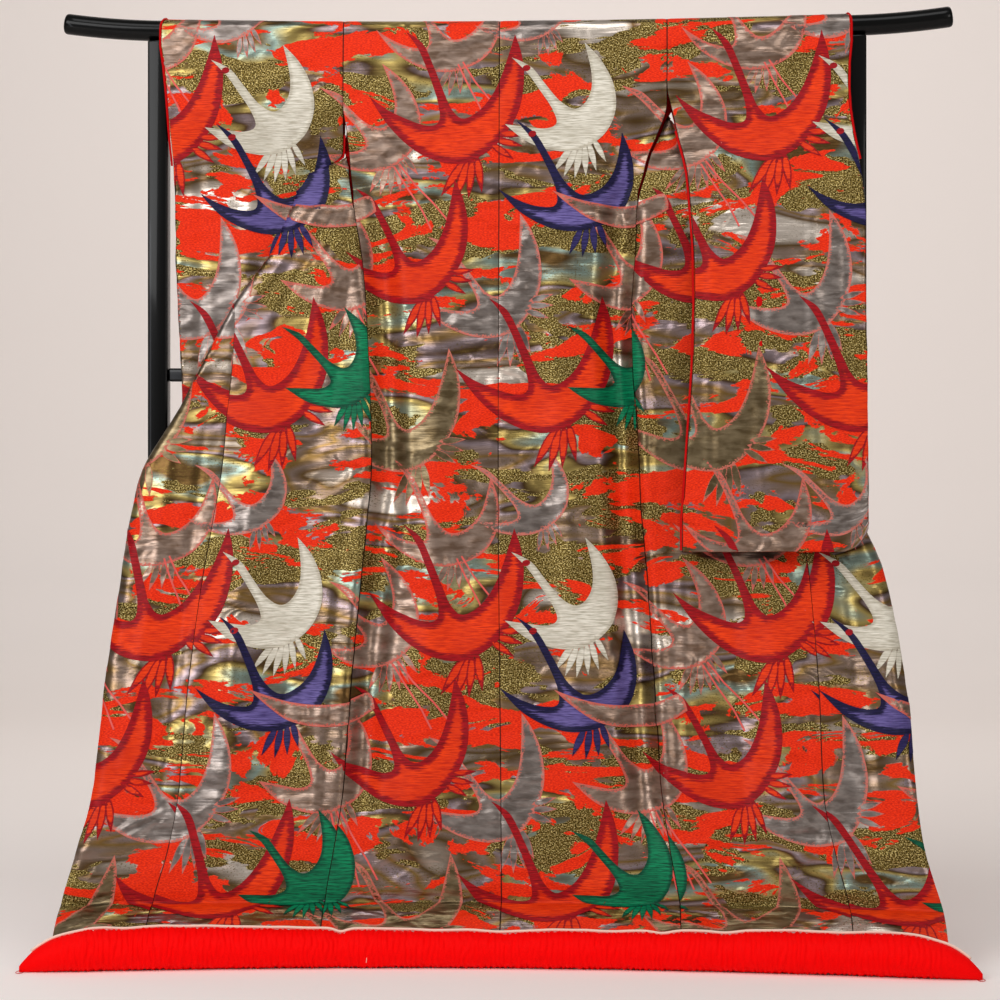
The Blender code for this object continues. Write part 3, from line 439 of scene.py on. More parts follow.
def piping_centre(x):
    y, z, radius = roll_centre(x)
    taper = (roll_centre(abs(x) + 0.004)[2] - roll_centre(abs(x) - 0.004)[2]) / 0.008
    reach = radius * ROLL_SEAT + (PIPING_RADIUS + SEAM_GAP) * math.hypot(1, taper)
    reach += 0.0012 * smoothstep((abs(x) - 0.76) / 0.06)
    return y + reach * math.sin(PIPING_LEAN), z + reach * math.cos(PIPING_LEAN)


def hem_edge(x):
    """Y and Z where the cloth's lower edge meets the piping."""
    y, z = piping_centre(x)
    reach = PIPING_RADIUS + 3 * SEAM_GAP
    return y + reach * math.sin(HEM_LEAN), z + reach * math.cos(HEM_LEAN)


def side_edge(side, height):
    """Offset of the side seam or, above the underarm, of the front's free side edge."""
    seam = read_table(LEVELS[side], "side_seam", height)
    return seam + (SLEEVE_SEAM - seam) * smoothstep((height - 1.48) / 0.12)


def level_at(side, height):
    return Level(height, *[read_table(LEVELS[side], name, height) for name in Level._fields[1:]])


def path_length(level):
    """Straight run to the fold, the turn, and the width folded back behind."""
    turn = math.radians(level.turn)
    reach = level.radius * math.sin(min(turn, math.pi / 2))
    run = level.fold - level.side_seam - reach
    return run, run + level.radius * turn + level.behind


def path_point(side, level, distance, lean):
    """A point at a distance from the side seam along the spread front at one level."""
    run, _ = path_length(level)
    arc = level.radius * math.radians(level.turn)
    bend = min(distance, run + arc) - run
    offset, setback = level.side_seam + min(distance, run), 0.0
    base = offset
    if bend > 0:
        angle = bend / level.radius
        offset += level.radius * math.sin(angle)
        setback = level.radius * (1 - math.cos(angle))
    past = distance - run - arc
    if past > 0:
        angle = math.radians(level.turn)
        offset += past * math.cos(angle)
        setback += past * math.sin(angle) + max(0.0, FOLD_PASS - offset) * lean
    y = hang_depth(side, base, level.height, level.side_seam) + setback
    return Vector((side * offset, y, level.height))


def back_slope(height):
    """How steeply a front that is folded back leans away from the fold, from 1.22 m up."""
    return BACK_LEAN * smoothstep((height - 1.22) / 0.18)


def front_split(side, height):
    """Widths of the front and of the whole sheet up to the collar, along the row."""
    level = level_at(side, height)
    _, total = path_length(level)
    if height > OKUMI_TOP + 0.01:
        return level, total, total
    return level, min(level.front_width, total - 0.004), total


def spread_row(side, height, low, high, columns):
    level = level_at(side, height)
    slope = back_slope(height)
    return [path_point(side, level, low + (high - low) * share, slope) for share in columns]


def even_points(controls, shares):
    """Points at shares of the length of a cubic curve through its four control points."""
    start, first, second, end = controls
    curve = []
    for past in spread(CURVE_PARTS):
        left = 1 - past
        curve.append(start * left ** 3 + first * (3 * past * left ** 2)
                     + second * (3 * past ** 2 * left) + end * past ** 3)
    lengths = [0.0]
    for low, high in zip(curve, curve[1:]):
        lengths.append(lengths[-1] + (high - low).length)
    points = []
    for share in shares:
        reach = share * lengths[-1]
        place = max(index for index in range(CURVE_PARTS) if lengths[index] <= reach + 1e-9)
        part = (reach - lengths[place]) / (lengths[place + 1] - lengths[place])
        points.append(curve[place].lerp(curve[place + 1], part))
    return points


def gap_row(side, height, columns, extra=0.0):
    """The front above the underarm, from its side edge to its inner edge, or beyond it."""
    edge, inner_x = side_edge(side, height), read_table(GAPS, "inner", height)
    if side == RIGHT:
        inner_x -= 0.018 * smoothstep((1.6 - height) / 0.2)
        edge += RIGHT_EDGE_SPILL * bell((height - 1.582) / 0.032)
    else:
        edge += LEFT_EDGE_SPILL * bell((height - 1.505) / 0.045)
    start = Vector((side * edge, read_table(GAPS, "side_y", height), height))
    inner = Vector((side * inner_x, read_table(GAPS, "inner_y", height), height))
    drawn = read_table(GAPS, "drawn_right" if side == RIGHT else "drawn_left", height)
    fold = read_table(LEVELS[side], "fold", height)
    reach = side * (8 * fold - edge - inner_x) / 6
    near_y = hang_depth(side, fold, height) - 0.004
    if side == RIGHT:
        near_y += RIGHT_FRONT_SETBACK * smoothstep((height - 1.44) / 0.08)
        start.y -= RIGHT_FRONT_SWING * bell((height - 1.53) / 0.085)
    first = start.lerp(inner, 1 / 3).lerp(Vector((reach, near_y, height)), drawn)
    second = start.lerp(inner, 2 / 3).lerp(Vector((reach, near_y + 0.020, height)), drawn)
    row = even_points((start, first, second, inner), columns)
    if extra:
        direction = (row[-1] - row[-2]).normalized()
        row = [row[-1] + direction * extra * share for share in columns]
    return row


def sleeve_floor(side, offset):
    """Lowest height of a sleeve at an offset, with its rounded outer corner."""
    outer = read_table(SLEEVES[side], "outer", SLEEVE_BOTTOM)
    past = offset - (outer - SLEEVE_CORNER)
    if past <= 0:
        return SLEEVE_BOTTOM
    past = min(past, SLEEVE_CORNER)
    return SLEEVE_BOTTOM + SLEEVE_CORNER - math.sqrt(SLEEVE_CORNER ** 2 - past ** 2)


def layer_point(side, offset, height, near, from_outer, from_bottom):
    """One point of a sleeve's camera-side or far layer. Both meet at the sewn edges."""
    near_y = read_table(SLEEVES[side], "near_y", height)
    far_y = read_table(SLEEVES[side], "far_y", height)
    middle, half = (near_y + far_y) / 2, (far_y - near_y) / 2
    open_end = smoothstep((height - WRIST_OPENING_END) / 0.05)
    close = math.sqrt(max(0.0, 1 - (1 - min(1.0, from_outer / SLEEVE_CLOSE)) ** 2))
    close = close + (1 - close) * open_end
    close *= math.sqrt(max(0.0, 1 - (1 - min(1.0, from_bottom / SLEEVE_CLOSE)) ** 2))
    outward = smoothstep((offset - 0.58) / 0.04) * smoothstep((height - 1.5) / 0.08)
    if near:
        y = middle - half * close
        y = y + (min(y, -POST_CLEARANCE) - y) * outward
    else:
        y = middle + half * close
        limit = FAR_LAYER_STOP + (1 - smoothstep((height - 1.45) / 0.06)) * 0.05
        offset = min(offset, limit - 0.3 * from_outer)
    return Vector((side * offset, y, height))


# Fine cloth: the size of a cell of its grid, the shell's thickness, the bolt and the pattern's repeat
CELL = 0.007
WALL = 0.0012
COLLAR_WALL = 0.003
BOLT = 0.29
REPEAT_ACROSS = 2 * BOLT
REPEAT_DOWN = 0.93
HEM_SLOPE = 0.085
SHOULDER_RUN = WRAP_RADIUS * math.pi / 2
SEAM_DIP = 0.0008
SEAM_SOFTNESS = 0.004

# Where creases fade out, below the bar and above the hem, and how deep the crumples are
CREASES_TOP = BAR_HEIGHT - 0.01
CREASES_TOP_FADE = 0.03
CREASES_BOTTOM = 0.09
CREASES_BOTTOM_FADE = 0.05
BROAD_CRUMPLE = 0.0017
FINE_CRUMPLE = 0.0006

# Creases of the hung cloth, from end to end in X and Z from the rack's middle. A positive depth is
# a ridge on the right side of the cloth, a negative one a trough.
Crease = namedtuple("Crease", "x0 z0 x1 z1 half_width depth")
BODY_CREASES = (
    Crease(0.165, 1.750, 0.285, 1.665, 0.013, -0.0045),
    Crease(0.190, 1.752, 0.302, 1.690, 0.012, 0.0040),
    Crease(0.080, 1.748, 0.290, 1.590, 0.020, 0.0022),
    Crease(0.120, 1.720, 0.300, 1.540, 0.016, -0.0022),
    Crease(-0.295, 1.740, -0.060, 1.640, 0.020, 0.0022),
    Crease(-0.290, 1.690, -0.130, 1.600, 0.016, -0.0020),
    Crease(-0.300, 1.600, -0.180, 1.480, 0.014, 0.0022),
    Crease(0.295, 1.500, 0.160, 1.380, 0.016, 0.0020),
    Crease(-0.020, 1.580, 0.120, 1.500, 0.022, 0.0012),
    Crease(-0.305, 1.440, -0.500, 1.180, 0.016, 0.0050),
    Crease(-0.300, 1.420, -0.440, 1.160, 0.014, -0.0040),
    Crease(-0.290, 1.400, -0.390, 1.050, 0.018, 0.0035),
    Crease(-0.330, 1.430, -0.520, 1.230, 0.012, -0.0030),
    Crease(-0.285, 1.300, -0.330, 0.960, 0.014, -0.0025),
    Crease(-0.620, 0.960, -0.700, 0.300, 0.022, 0.0035),
    Crease(-0.560, 0.980, -0.630, 0.260, 0.018, -0.0030),
    Crease(-0.470, 0.900, -0.520, 0.240, 0.024, 0.0032),
    Crease(-0.380, 0.840, -0.420, 0.220, 0.020, -0.0028),
    Crease(-0.320, 0.700, -0.345, 0.200, 0.014, 0.0030),
    Crease(-0.130, 0.960, -0.140, 0.220, 0.030, 0.0020),
    Crease(0.120, 0.980, 0.140, 0.230, 0.032, 0.0022),
    Crease(0.215, 1.250, 0.225, 0.300, 0.018, -0.0028),
    Crease(0.330, 0.800, 0.345, 0.180, 0.020, 0.0032),
    Crease(0.420, 0.780, 0.450, 0.200, 0.024, -0.0030),
    Crease(0.520, 0.760, 0.600, 0.200, 0.024, 0.0035),
    Crease(0.620, 0.760, 0.680, 0.240, 0.020, -0.0030),
    Crease(0.700, 0.620, 0.760, 0.220, 0.018, 0.0030),
    Crease(-0.760, 0.318, -0.300, 0.300, 0.014, -0.0030),
    Crease(-0.740, 0.350, -0.330, 0.335, 0.018, 0.0030),
    Crease(0.310, 0.380, 0.760, 0.330, 0.014, -0.0025),
    Crease(0.330, 0.410, 0.740, 0.365, 0.018, 0.0025),
    Crease(-0.270, 0.190, 0.240, 0.196, 0.014, 0.0022),
    Crease(-0.280, 0.560, -0.150, 0.500, 0.022, 0.0015),
    Crease(0.020, 0.640, 0.230, 0.600, 0.022, 0.0015),
)
SLEEVE_CREASES = (
    Crease(0.330, 1.640, 0.520, 1.480, 0.016, 0.0030),
    Crease(0.345, 1.600, 0.480, 1.400, 0.014, -0.0028),
    Crease(0.340, 1.720, 0.640, 1.640, 0.018, 0.0020),
    Crease(0.450, 1.700, 0.650, 1.560, 0.018, -0.0018),
    Crease(0.390, 1.420, 0.380, 0.800, 0.020, 0.0028),
    Crease(0.470, 1.460, 0.480, 0.800, 0.026, -0.0026),
    Crease(0.570, 1.500, 0.580, 0.790, 0.022, 0.0028),
    Crease(0.630, 1.380, 0.640, 0.860, 0.014, -0.0020),
    Crease(0.360, 0.900, 0.640, 0.880, 0.020, 0.0014),
    Crease(-0.330, 1.700, -0.560, 1.560, 0.018, 0.0024),
    Crease(-0.320, 1.640, -0.440, 1.470, 0.014, -0.0024),
    Crease(-0.480, 1.600, -0.500, 0.820, 0.024, 0.0022),
    Crease(-0.580, 1.560, -0.575, 0.840, 0.020, -0.0022),
    Crease(-0.400, 1.400, -0.410, 0.820, 0.020, 0.0020),
)


def crease_height(x, z, creases):
    """How far the creases lift the cloth at each point of a grid."""
    total = np.zeros_like(x)
    for crease in creases:
        run = np.array((crease.x1 - crease.x0, crease.z1 - crease.z0))
        length = np.linalg.norm(run)
        run = run / length
        along = (x - crease.x0) * run[0] + (z - crease.z0) * run[1]
        aside = np.abs((x - crease.x0) * run[1] - (z - crease.z0) * run[0])
        share = np.clip(along / length, 0.0, 1.0)
        fade = np.sin(np.pi * share) ** 0.7
        near = np.clip(aside / (crease.half_width * (0.55 + 0.45 * fade)), 0.0, 1.0)
        total += crease.depth * fade * np.cos(np.pi / 2 * near) ** 2
    return total


def crumple_height(points):
    """Small weft-wise dents, which break the foil's reflections into streaks."""
    height = np.zeros(points.shape[:2])
    for index in np.ndindex(height.shape):
        x, y, z = points[index]
        broad = noise.noise(Vector((x * 8 + z * 3, y * 8, z * 20 - x * 3)))
        fine = noise.noise(Vector((x * 22 + 5, y * 22, z * 62)))
        height[index] = BROAD_CRUMPLE * broad + FINE_CRUMPLE * fine
    return height


# One line across a piece: its points, their places across the bolt, and its place down the bolt
Line = namedtuple("Line", "points across down")


class Cloth:
    """A fine grid of one cloth piece, with its normals and each point's place on the bolt."""

    def __init__(self, name, side, lines, creases, sewn):
        self.name, self.side, self.sewn = name, side, sewn
        self.points = np.array([[tuple(point) for point in line.points] for line in lines])
        self.across = np.array([line.across for line in lines])
        self.down = np.array([line.down for line in lines])
        first = self.across[0]
        self.shares = (first - first[0]) / (first[-1] - first[0])
        self.points = self.points + self.normals() * self.relief(creases)[..., None]
        self.points[..., 1] += RACK_SETBACK
        self.upright = self.normals()

    def normals(self):
        down = np.gradient(self.points, axis=0)
        along = np.gradient(self.points, axis=1)
        normal = np.cross(down, along) * self.side
        return normal / np.maximum(np.linalg.norm(normal, axis=2, keepdims=True), 1e-12)

    def relief(self, creases):
        """How far creases and crumples lift the cloth and its sewn edges dip."""
        height = self.points[..., 2]
        lift = crease_height(self.points[..., 0], height, creases)
        lift = lift + crumple_height(self.points)
        below_bar = np.clip((CREASES_TOP - height) / CREASES_TOP_FADE, 0.0, 1.0)
        above_hem = np.clip((height - CREASES_BOTTOM) / CREASES_BOTTOM_FADE, 0.0, 1.0)
        lift *= below_bar * above_hem
        for column in self.sewn:
            gap = np.abs(self.across - self.across[:, column][:, None])
            lift -= SEAM_DIP * np.exp(-(gap / SEAM_SOFTNESS) ** 2)
        return lift

    def share(self, across, down):
        """0 at the piece's first edge and 1 at its last, on the level of a place on the bolt."""
        first = np.interp(down, self.down, self.across[:, 0])
        last = np.interp(down, self.down, self.across[:, -1])
        return (across - first) / (last - first)


def down_at(height):
    """Place down the bolt, from the shoulder fold on top of the bar."""
    return SHOULDER_RUN + BAR_HEIGHT - height


def standing_heights(top, bottom):
    count = round((top - bottom) / CELL)
    return [top + (bottom - top) * share for share in spread(count)]


def wrap_lines(offsets, side, toward, across_of):
    """Lines over the bar, from its top down to its level."""
    lines = []
    for share in spread(6)[:-1]:
        turn = math.pi / 2 * (1 - share)
        points = [Vector((side * x, toward * WRAP_RADIUS * math.cos(turn),
                          bar_height(x) + WRAP_RADIUS * math.sin(turn))) for x in offsets]
        lines.append(Line(points, across_of(points), SHOULDER_RUN * share))
    return lines


# Short dips of the hem's upper edge, where the roll is drawn in
Dip = namedtuple("Dip", "x half_width depth")
HEM_DIPS = (
    Dip(-0.672, 0.040, 0.0040), Dip(-0.286, 0.014, 0.0060), Dip(-0.110, 0.060, 0.0022),
    Dip(0.012, 0.045, 0.0042), Dip(0.200, 0.050, 0.0020), Dip(0.292, 0.022, 0.0045),
    Dip(0.405, 0.030, 0.0040), Dip(0.610, 0.060, 0.0030),
)

# How far the cloth is tucked back on its way down to the buckle, as a share of the whole tuck
Tuck = namedtuple("Tuck", "height share")
TUCKS = (Tuck(0.134, 0.07), Tuck(0.127, 0.27), Tuck(0.120, 0.55), Tuck(0.113, 0.83))
SLOPE_LINES = 12
SLOPE_CROWN = 0.006
GATHER_DEPTH = 0.0016


def hem_dip(x):
    return sum(dip.depth * math.exp(-((x - dip.x) / dip.half_width) ** 2) for dip in HEM_DIPS)


def hem_lines(row_at):
    """Lines below the standing cloth: over the buckle and down the slope to the piping."""
    lines = []
    for tuck in TUCKS:
        points, across = row_at(tuck.height)
        points = [point + Vector((0, BUCKLE_TUCK * tuck.share, 0)) for point in points]
        lines.append(Line(points, across, down_at(tuck.height)))
    points, across = row_at(BUCKLE_HEIGHT)
    buckle = [point + Vector((0, BUCKLE_TUCK, 0)) for point in points]
    for share in spread(SLOPE_LINES):
        row = []
        for point in buckle:
            edge_y, edge_z = hem_edge(point.x)
            gather = GATHER_DEPTH * math.sin(point.x * 390 + 2.2 * math.sin(point.x * 61)) * share
            lift = SLOPE_CROWN * math.sin(math.pi * share)
            lift += gather * math.sin(math.pi * min(1.0, share + 0.2))
            lift -= hem_dip(point.x) * share ** 2
            row.append(Vector((point.x, point.y + (edge_y - point.y) * share,
                               point.z + (edge_z - point.z) * share + lift)))
        lines.append(Line(row, across, down_at(BUCKLE_HEIGHT) + HEM_SLOPE * share))
    return lines


def hang_lines(row_at, top):
    """Lines of a hanging piece from its top down, with those of its hem."""
    standing = [Line(*row_at(height), down_at(height)) for height in standing_heights(top, HEM_START)]
    return standing + hem_lines(row_at)


def back_cloth(side, name):
    columns = spread(round(BOLT / CELL))

    def row_at(height):
        first = side * centre_seam(height)
        seam = side_edge(side, height)
        pull = smoothstep((height - UNDERARM) / 0.035) * smoothstep((1.58 - height) / 0.05)
        seam -= BACK_EDGE_PULL * pull
        offsets = [first + (seam - first) * share for share in columns]
        points = [Vector((side * offset, hang_depth(side, offset, height), height)) for offset in offsets]
        return points, [side * (offset - first) for offset in offsets]

    first = side * CENTRE_SEAM_TOP
    top = [first + (SLEEVE_SEAM - first) * share for share in columns]
    top_across = [side * (offset - first) for offset in top]
    lines = wrap_lines(top, side, -1, lambda points: top_across) + hang_lines(row_at, WRAP_END)
    return Cloth(name, side, lines, BODY_CREASES, (0, -1))


def front_cloth(side, name):
    columns = spread(round(BOLT / CELL))

    def across_of(points):
        reach = [0.0]
        for low, high in zip(points, points[1:]):
            reach.append(reach[-1] + (high - low).length)
        return [side * (BOLT + value) for value in reach]

    def row_at(height):
        if height > UNDERARM:
            points = gap_row(side, height, columns)
        else:
            _, width, _ = front_split(side, height)
            points = spread_row(side, height, 0.0, width, columns)
        return points, across_of(points)

    inner = read_table(GAPS, "inner", BAR_HEIGHT)
    top = [SLEEVE_SEAM + (inner - SLEEVE_SEAM) * share for share in columns]
    lines = wrap_lines(top, side, 1, across_of) + hang_lines(row_at, WRAP_END)
    return Cloth(name, side, lines, BODY_CREASES, (0, -1))


# Greatest width of an okumi, which its columns are set by
OKUMI_WIDTH = 0.22


def okumi_cloth(side, name):
    columns = spread(round(OKUMI_WIDTH / CELL))

    def row_at(height):
        _, width, total = front_split(side, height)
        points = spread_row(side, height, width, total, columns)
        return points, [side * (2 * BOLT + (total - width) * share) for share in columns]

    return Cloth(name, side, hang_lines(row_at, OKUMI_TOP), BODY_CREASES, (0,))


# The collar behind the neck and on the shoulder: X, Y and rise over the bar of its seam and free edge
NECK_SEAM_Y = 0.027
NECK_FREE_Y = 0.030
NECK_RISE = 0.012
SHOULDER_SEAM = (0.097, 0.028, 0.004)
SHOULDER_FREE = (0.047, 0.031, -0.047)
COLLAR_TOP = 1.69


def collar_cloth(side, name):
    columns = spread(8)
    across = [side * (3 * BOLT + COLLAR_WIDTH * share) for share in columns]
    lines = []
    for share in NECK_SHARES:
        seam_x = side * NECK_HALF_WIDTH * share
        free_x = side * (NECK_HALF_WIDTH - COLLAR_WIDTH) * share
        seam = Vector((seam_x, NECK_SEAM_Y, bar_height(seam_x) + NECK_RISE))
        free = Vector((free_x, NECK_FREE_Y, bar_height(free_x) + NECK_RISE - COLLAR_WIDTH))
        lines.append(Line([seam.lerp(free, part) for part in columns], across, -0.16 + 0.12 * share))
    seam, free = (Vector((side * x, y, BAR_HEIGHT + rise)) for x, y, rise in (SHOULDER_SEAM, SHOULDER_FREE))
    lines.append(Line([seam.lerp(free, part) for part in columns], across, 0.0))
    for height in standing_heights(COLLAR_TOP, COLLAR_END):
        if height > UNDERARM:
            row = gap_row(side, height, spread(20), COLLAR_WIDTH)
            edge, turned_in = row[0], row[-1]
            row = [edge.lerp(turned_in, share) for share in columns]
            drop = 0.02 * smoothstep((height - 1.6) / 0.09)
            for share, point in zip(columns, row):
                point.z -= share * drop
        else:
            _, _, total = front_split(side, height)
            level = level_at(side, height)
            turned = level._replace(turn=max(level.turn, 180), behind=level.behind + 0.2)
            slope = back_slope(height)
            row = [path_point(side, turned, total + COLLAR_WIDTH * share, slope) for share in columns]
        lines.append(Line(row, across, down_at(height)))
    return Cloth(name, side, lines, (), (0,))


# Lines of a sleeve bag: columns that close up at its outer edge, and rows down to its bottom
SLEEVE_COLUMNS = spread(46)[:-1] + [0.988, 0.996, 1.0]
SLEEVE_TOP = 1.700
SLEEVE_FOOT = SLEEVE_BOTTOM + 0.10
FOOT_SHARES = (0.14, 0.28, 0.42, 0.56, 0.70, 0.84, 0.95, 0.985, 0.996, 1.0)
WRAP_STEP = 12


def sleeve_offsets(side, height):
    inner, outer = (read_table(SLEEVES[side], key, height) for key in ("inner", "outer"))
    return [inner + (outer - inner) * share for share in SLEEVE_COLUMNS], outer


def sleeve_layer(side, near):
    """Lines of one layer of a sleeve bag, from just under the bar down to its rounded bottom."""
    lines = []
    heights = standing_heights(SLEEVE_TOP, SLEEVE_FOOT)
    for height in heights:
        offsets, outer = sleeve_offsets(side, height)
        points = [layer_point(side, x, height, near, outer - x, 1.0) for x in offsets]
        lines.append(Line(points, [side * x for x in offsets], down_at(height)))
    foot = heights[-1]
    offsets, outer = sleeve_offsets(side, SLEEVE_BOTTOM)
    for share in FOOT_SHARES:
        points = []
        for x in offsets:
            floor = sleeve_floor(side, x)
            rise = (foot - floor) * (1 - share)
            points.append(layer_point(side, x, floor + rise, near, outer - x, rise))
        down = down_at(foot) + (foot - SLEEVE_BOTTOM) * share
        lines.append(Line(points, [side * x for x in offsets], down))
    return lines


def sleeve_cloth(side, name):
    """Both layers of a sleeve bag: up the far one, over the bar and down the camera side."""
    near, far = sleeve_layer(side, True), sleeve_layer(side, False)
    over = []
    for angle in range(0, 181, WRAP_STEP):
        turn = math.radians(angle)
        share = (1 - math.cos(turn)) / 2
        points = []
        for near_point, far_point in zip(near[0].points, far[0].points):
            x = near_point.x + (far_point.x - near_point.x) * share
            z = bar_height(x) + WRAP_RADIUS * math.sin(turn)
            points.append(Vector((x, -WRAP_RADIUS * math.cos(turn), z)))
        over.append(Line(points, near[0].across, WRAP_RADIUS * (turn - math.pi / 2)))
    rising = [line._replace(down=-line.down) for line in far[::-1] + over[::-1]]
    return Cloth(name, side, rising + near, SLEEVE_CREASES, (0,))


def linear(code):
    """An sRGB hex colour as linear RGBA."""
    parts = [int(code[index:index + 2], 16) / 255 for index in (0, 2, 4)]
    return tuple(p / 12.92 if p <= 0.04045 else ((p + 0.055) / 1.055) ** 2.4 for p in parts) + (1.0,)


def add(tree, kind, inputs=None, out=0, **settings):
    """Adds a node, fills its inputs with values or links, and returns one of its outputs."""
    node = tree.nodes.new("ShaderNode" + kind)
    for name, value in settings.items():
        setattr(node, name, value)
    for name, value in (inputs or {}).items():
        if isinstance(value, bpy.types.NodeSocket):
            tree.links.new(value, node.inputs[name])
        else:
            node.inputs[name].default_value = value
    return node.outputs[out]


def new_material(name):
    material = bpy.data.materials.new(name)
    material.use_nodes = True
    material.node_tree.nodes.clear()
    return material, material.node_tree


def finish_surface(tree, inputs):
    surface = add(tree, "BsdfPrincipled", inputs)
    output = tree.nodes.new("ShaderNodeOutputMaterial")
    tree.links.new(surface, output.inputs["Surface"])


# Patterns woven on the bolt: the size of one patch across it and down it in millimetres, its octaves
# and their strength, how far it is warped, and where on the bolt it starts. Real threads lie about
# half a millimetre apart, too fine to show, so grain, picks and floats are drawn at 1.5 to 5 mm.
Pattern = namedtuple("Pattern", "width length detail roughness warp start")
CLOUDS = Pattern(200, 71.43, 6, 0.62, 0.8, 3.1)
FOIL_SHEETS = Pattern(263.2, 100, 4, 0.58, 0.4, 11.7)
FOIL_HUES = Pattern(384.6, 111.1, 2, 0.5, 0.4, 23)
FOIL_CRUSH = Pattern(66.67, 37.04, 1, 0.35, 0.8, 2)
FOIL_STREAKS = Pattern(83.33, 5.882, 3, 0.6, 0.3, 6)
FOIL_CRINKLED = Pattern(294.1, 142.9, 2, 0.5, 0.3, 31)
FOIL_MOTTLE = Pattern(33.33, 14.29, 3, 0.5, 0.3, 0)
GOLD_GRAIN = Pattern(2.941, 2.326, 1, 0.7, 0, 0)
GOLD_FLECKS = Pattern(4.167, 2.381, 2, 0.5, 0, 5)
WORN_PLACES = Pattern(111.1, 62.5, 2, 0.5, 0, 8)
SILK_PICKS = Pattern(4.545, 1.5625, 2, 0.5, 0, 9)
FLOATS = Pattern(29.41, 2.381, 2, 0.6, 0.15, 1)
FLOAT_SHADE = Pattern(111.1, 71.43, 1, 0.5, 0, 6)
RAGGED_BORDER = Pattern(33.33, 3.333, 3, 0.6, 0.1, 4)
FRAYED_OUTLINE = Pattern(3.846, 3.030, 2, 0.7, 0, 0)

# Depths of the raised threads and dents, in metres
CRUSH_DEPTH = 0.013
STREAK_DEPTH = 0.0022
GRAIN_DEPTH = 0.0012
CLOUD_DEPTH = 0.0006
FLOAT_DEPTH = 0.0016
RIB_DEPTH = 0.0008
LACQUER_DEPTH = 0.002

# Colours along the foil, each with its place on the pattern, and those of the gold grain
FOIL_TONES = (
    (0.32, "CEC2B6"), (0.39, "5E4628"), (0.44, "8C786C"), (0.475, "846636"), (0.515, "97868A"),
    (0.545, "4C3620"), (0.58, "B09A5A"), (0.63, "86988E"), (0.68, "5E4628"),
)
GOLD_TONES = ((0.36, "231A08"), (0.52, "6E5A26"), (0.72, "DCC888"))

# Roughness of each finish in the brocade
GRAIN_ROUGHNESS = 0.46
FOIL_ROUGHNESS = 0.33
SILK_ROUGHNESS = 0.62


def lay_pattern(tree, pattern):
    """A pattern on the bolt, as a value that wanders round a half."""
    bolt = add(tree, "UVMap", uv_map="bolt")
    place = add(tree, "Mapping", {"Vector": bolt, "Scale": (1000 / pattern.width, 1000 / pattern.length, 1),
                                  "Location": (pattern.start, pattern.start * 0.7, 0)})
    return add(tree, "TexNoise", {"Vector": place, "Scale": 1.0, "Detail": pattern.detail,
                                  "Roughness": pattern.roughness, "Distortion": pattern.warp})


def set_tones(colour, tones):
    """Gives a colour ramp its tones, in the order of their places."""
    stops = colour.node.color_ramp.elements
    for index, (place, tone) in enumerate(tones):
        stop = stops[index] if index < 2 else stops.new(place)
        stop.position = place
        stop.color = linear(tone)


def dent_foil(tree):
    """The crushed surface of foil weft: dents of a few centimetres and fine streaks along it."""
    crinkled = add(tree, "MapRange", {"Value": lay_pattern(tree, FOIL_CRINKLED), "From Min": 0.42,
                                      "From Max": 0.58, "To Min": 0.25})
    dents = add(tree, "Bump", {"Height": lay_pattern(tree, FOIL_CRUSH), "Strength": crinkled,
                               "Distance": CRUSH_DEPTH})
    streaked = add(tree, "MapRange", {"Value": crinkled, "To Min": 0.2, "To Max": 0.6})
    return add(tree, "Bump", {"Height": lay_pattern(tree, FOIL_STREAKS), "Strength": streaked,
                              "Distance": STREAK_DEPTH, "Normal": dents})


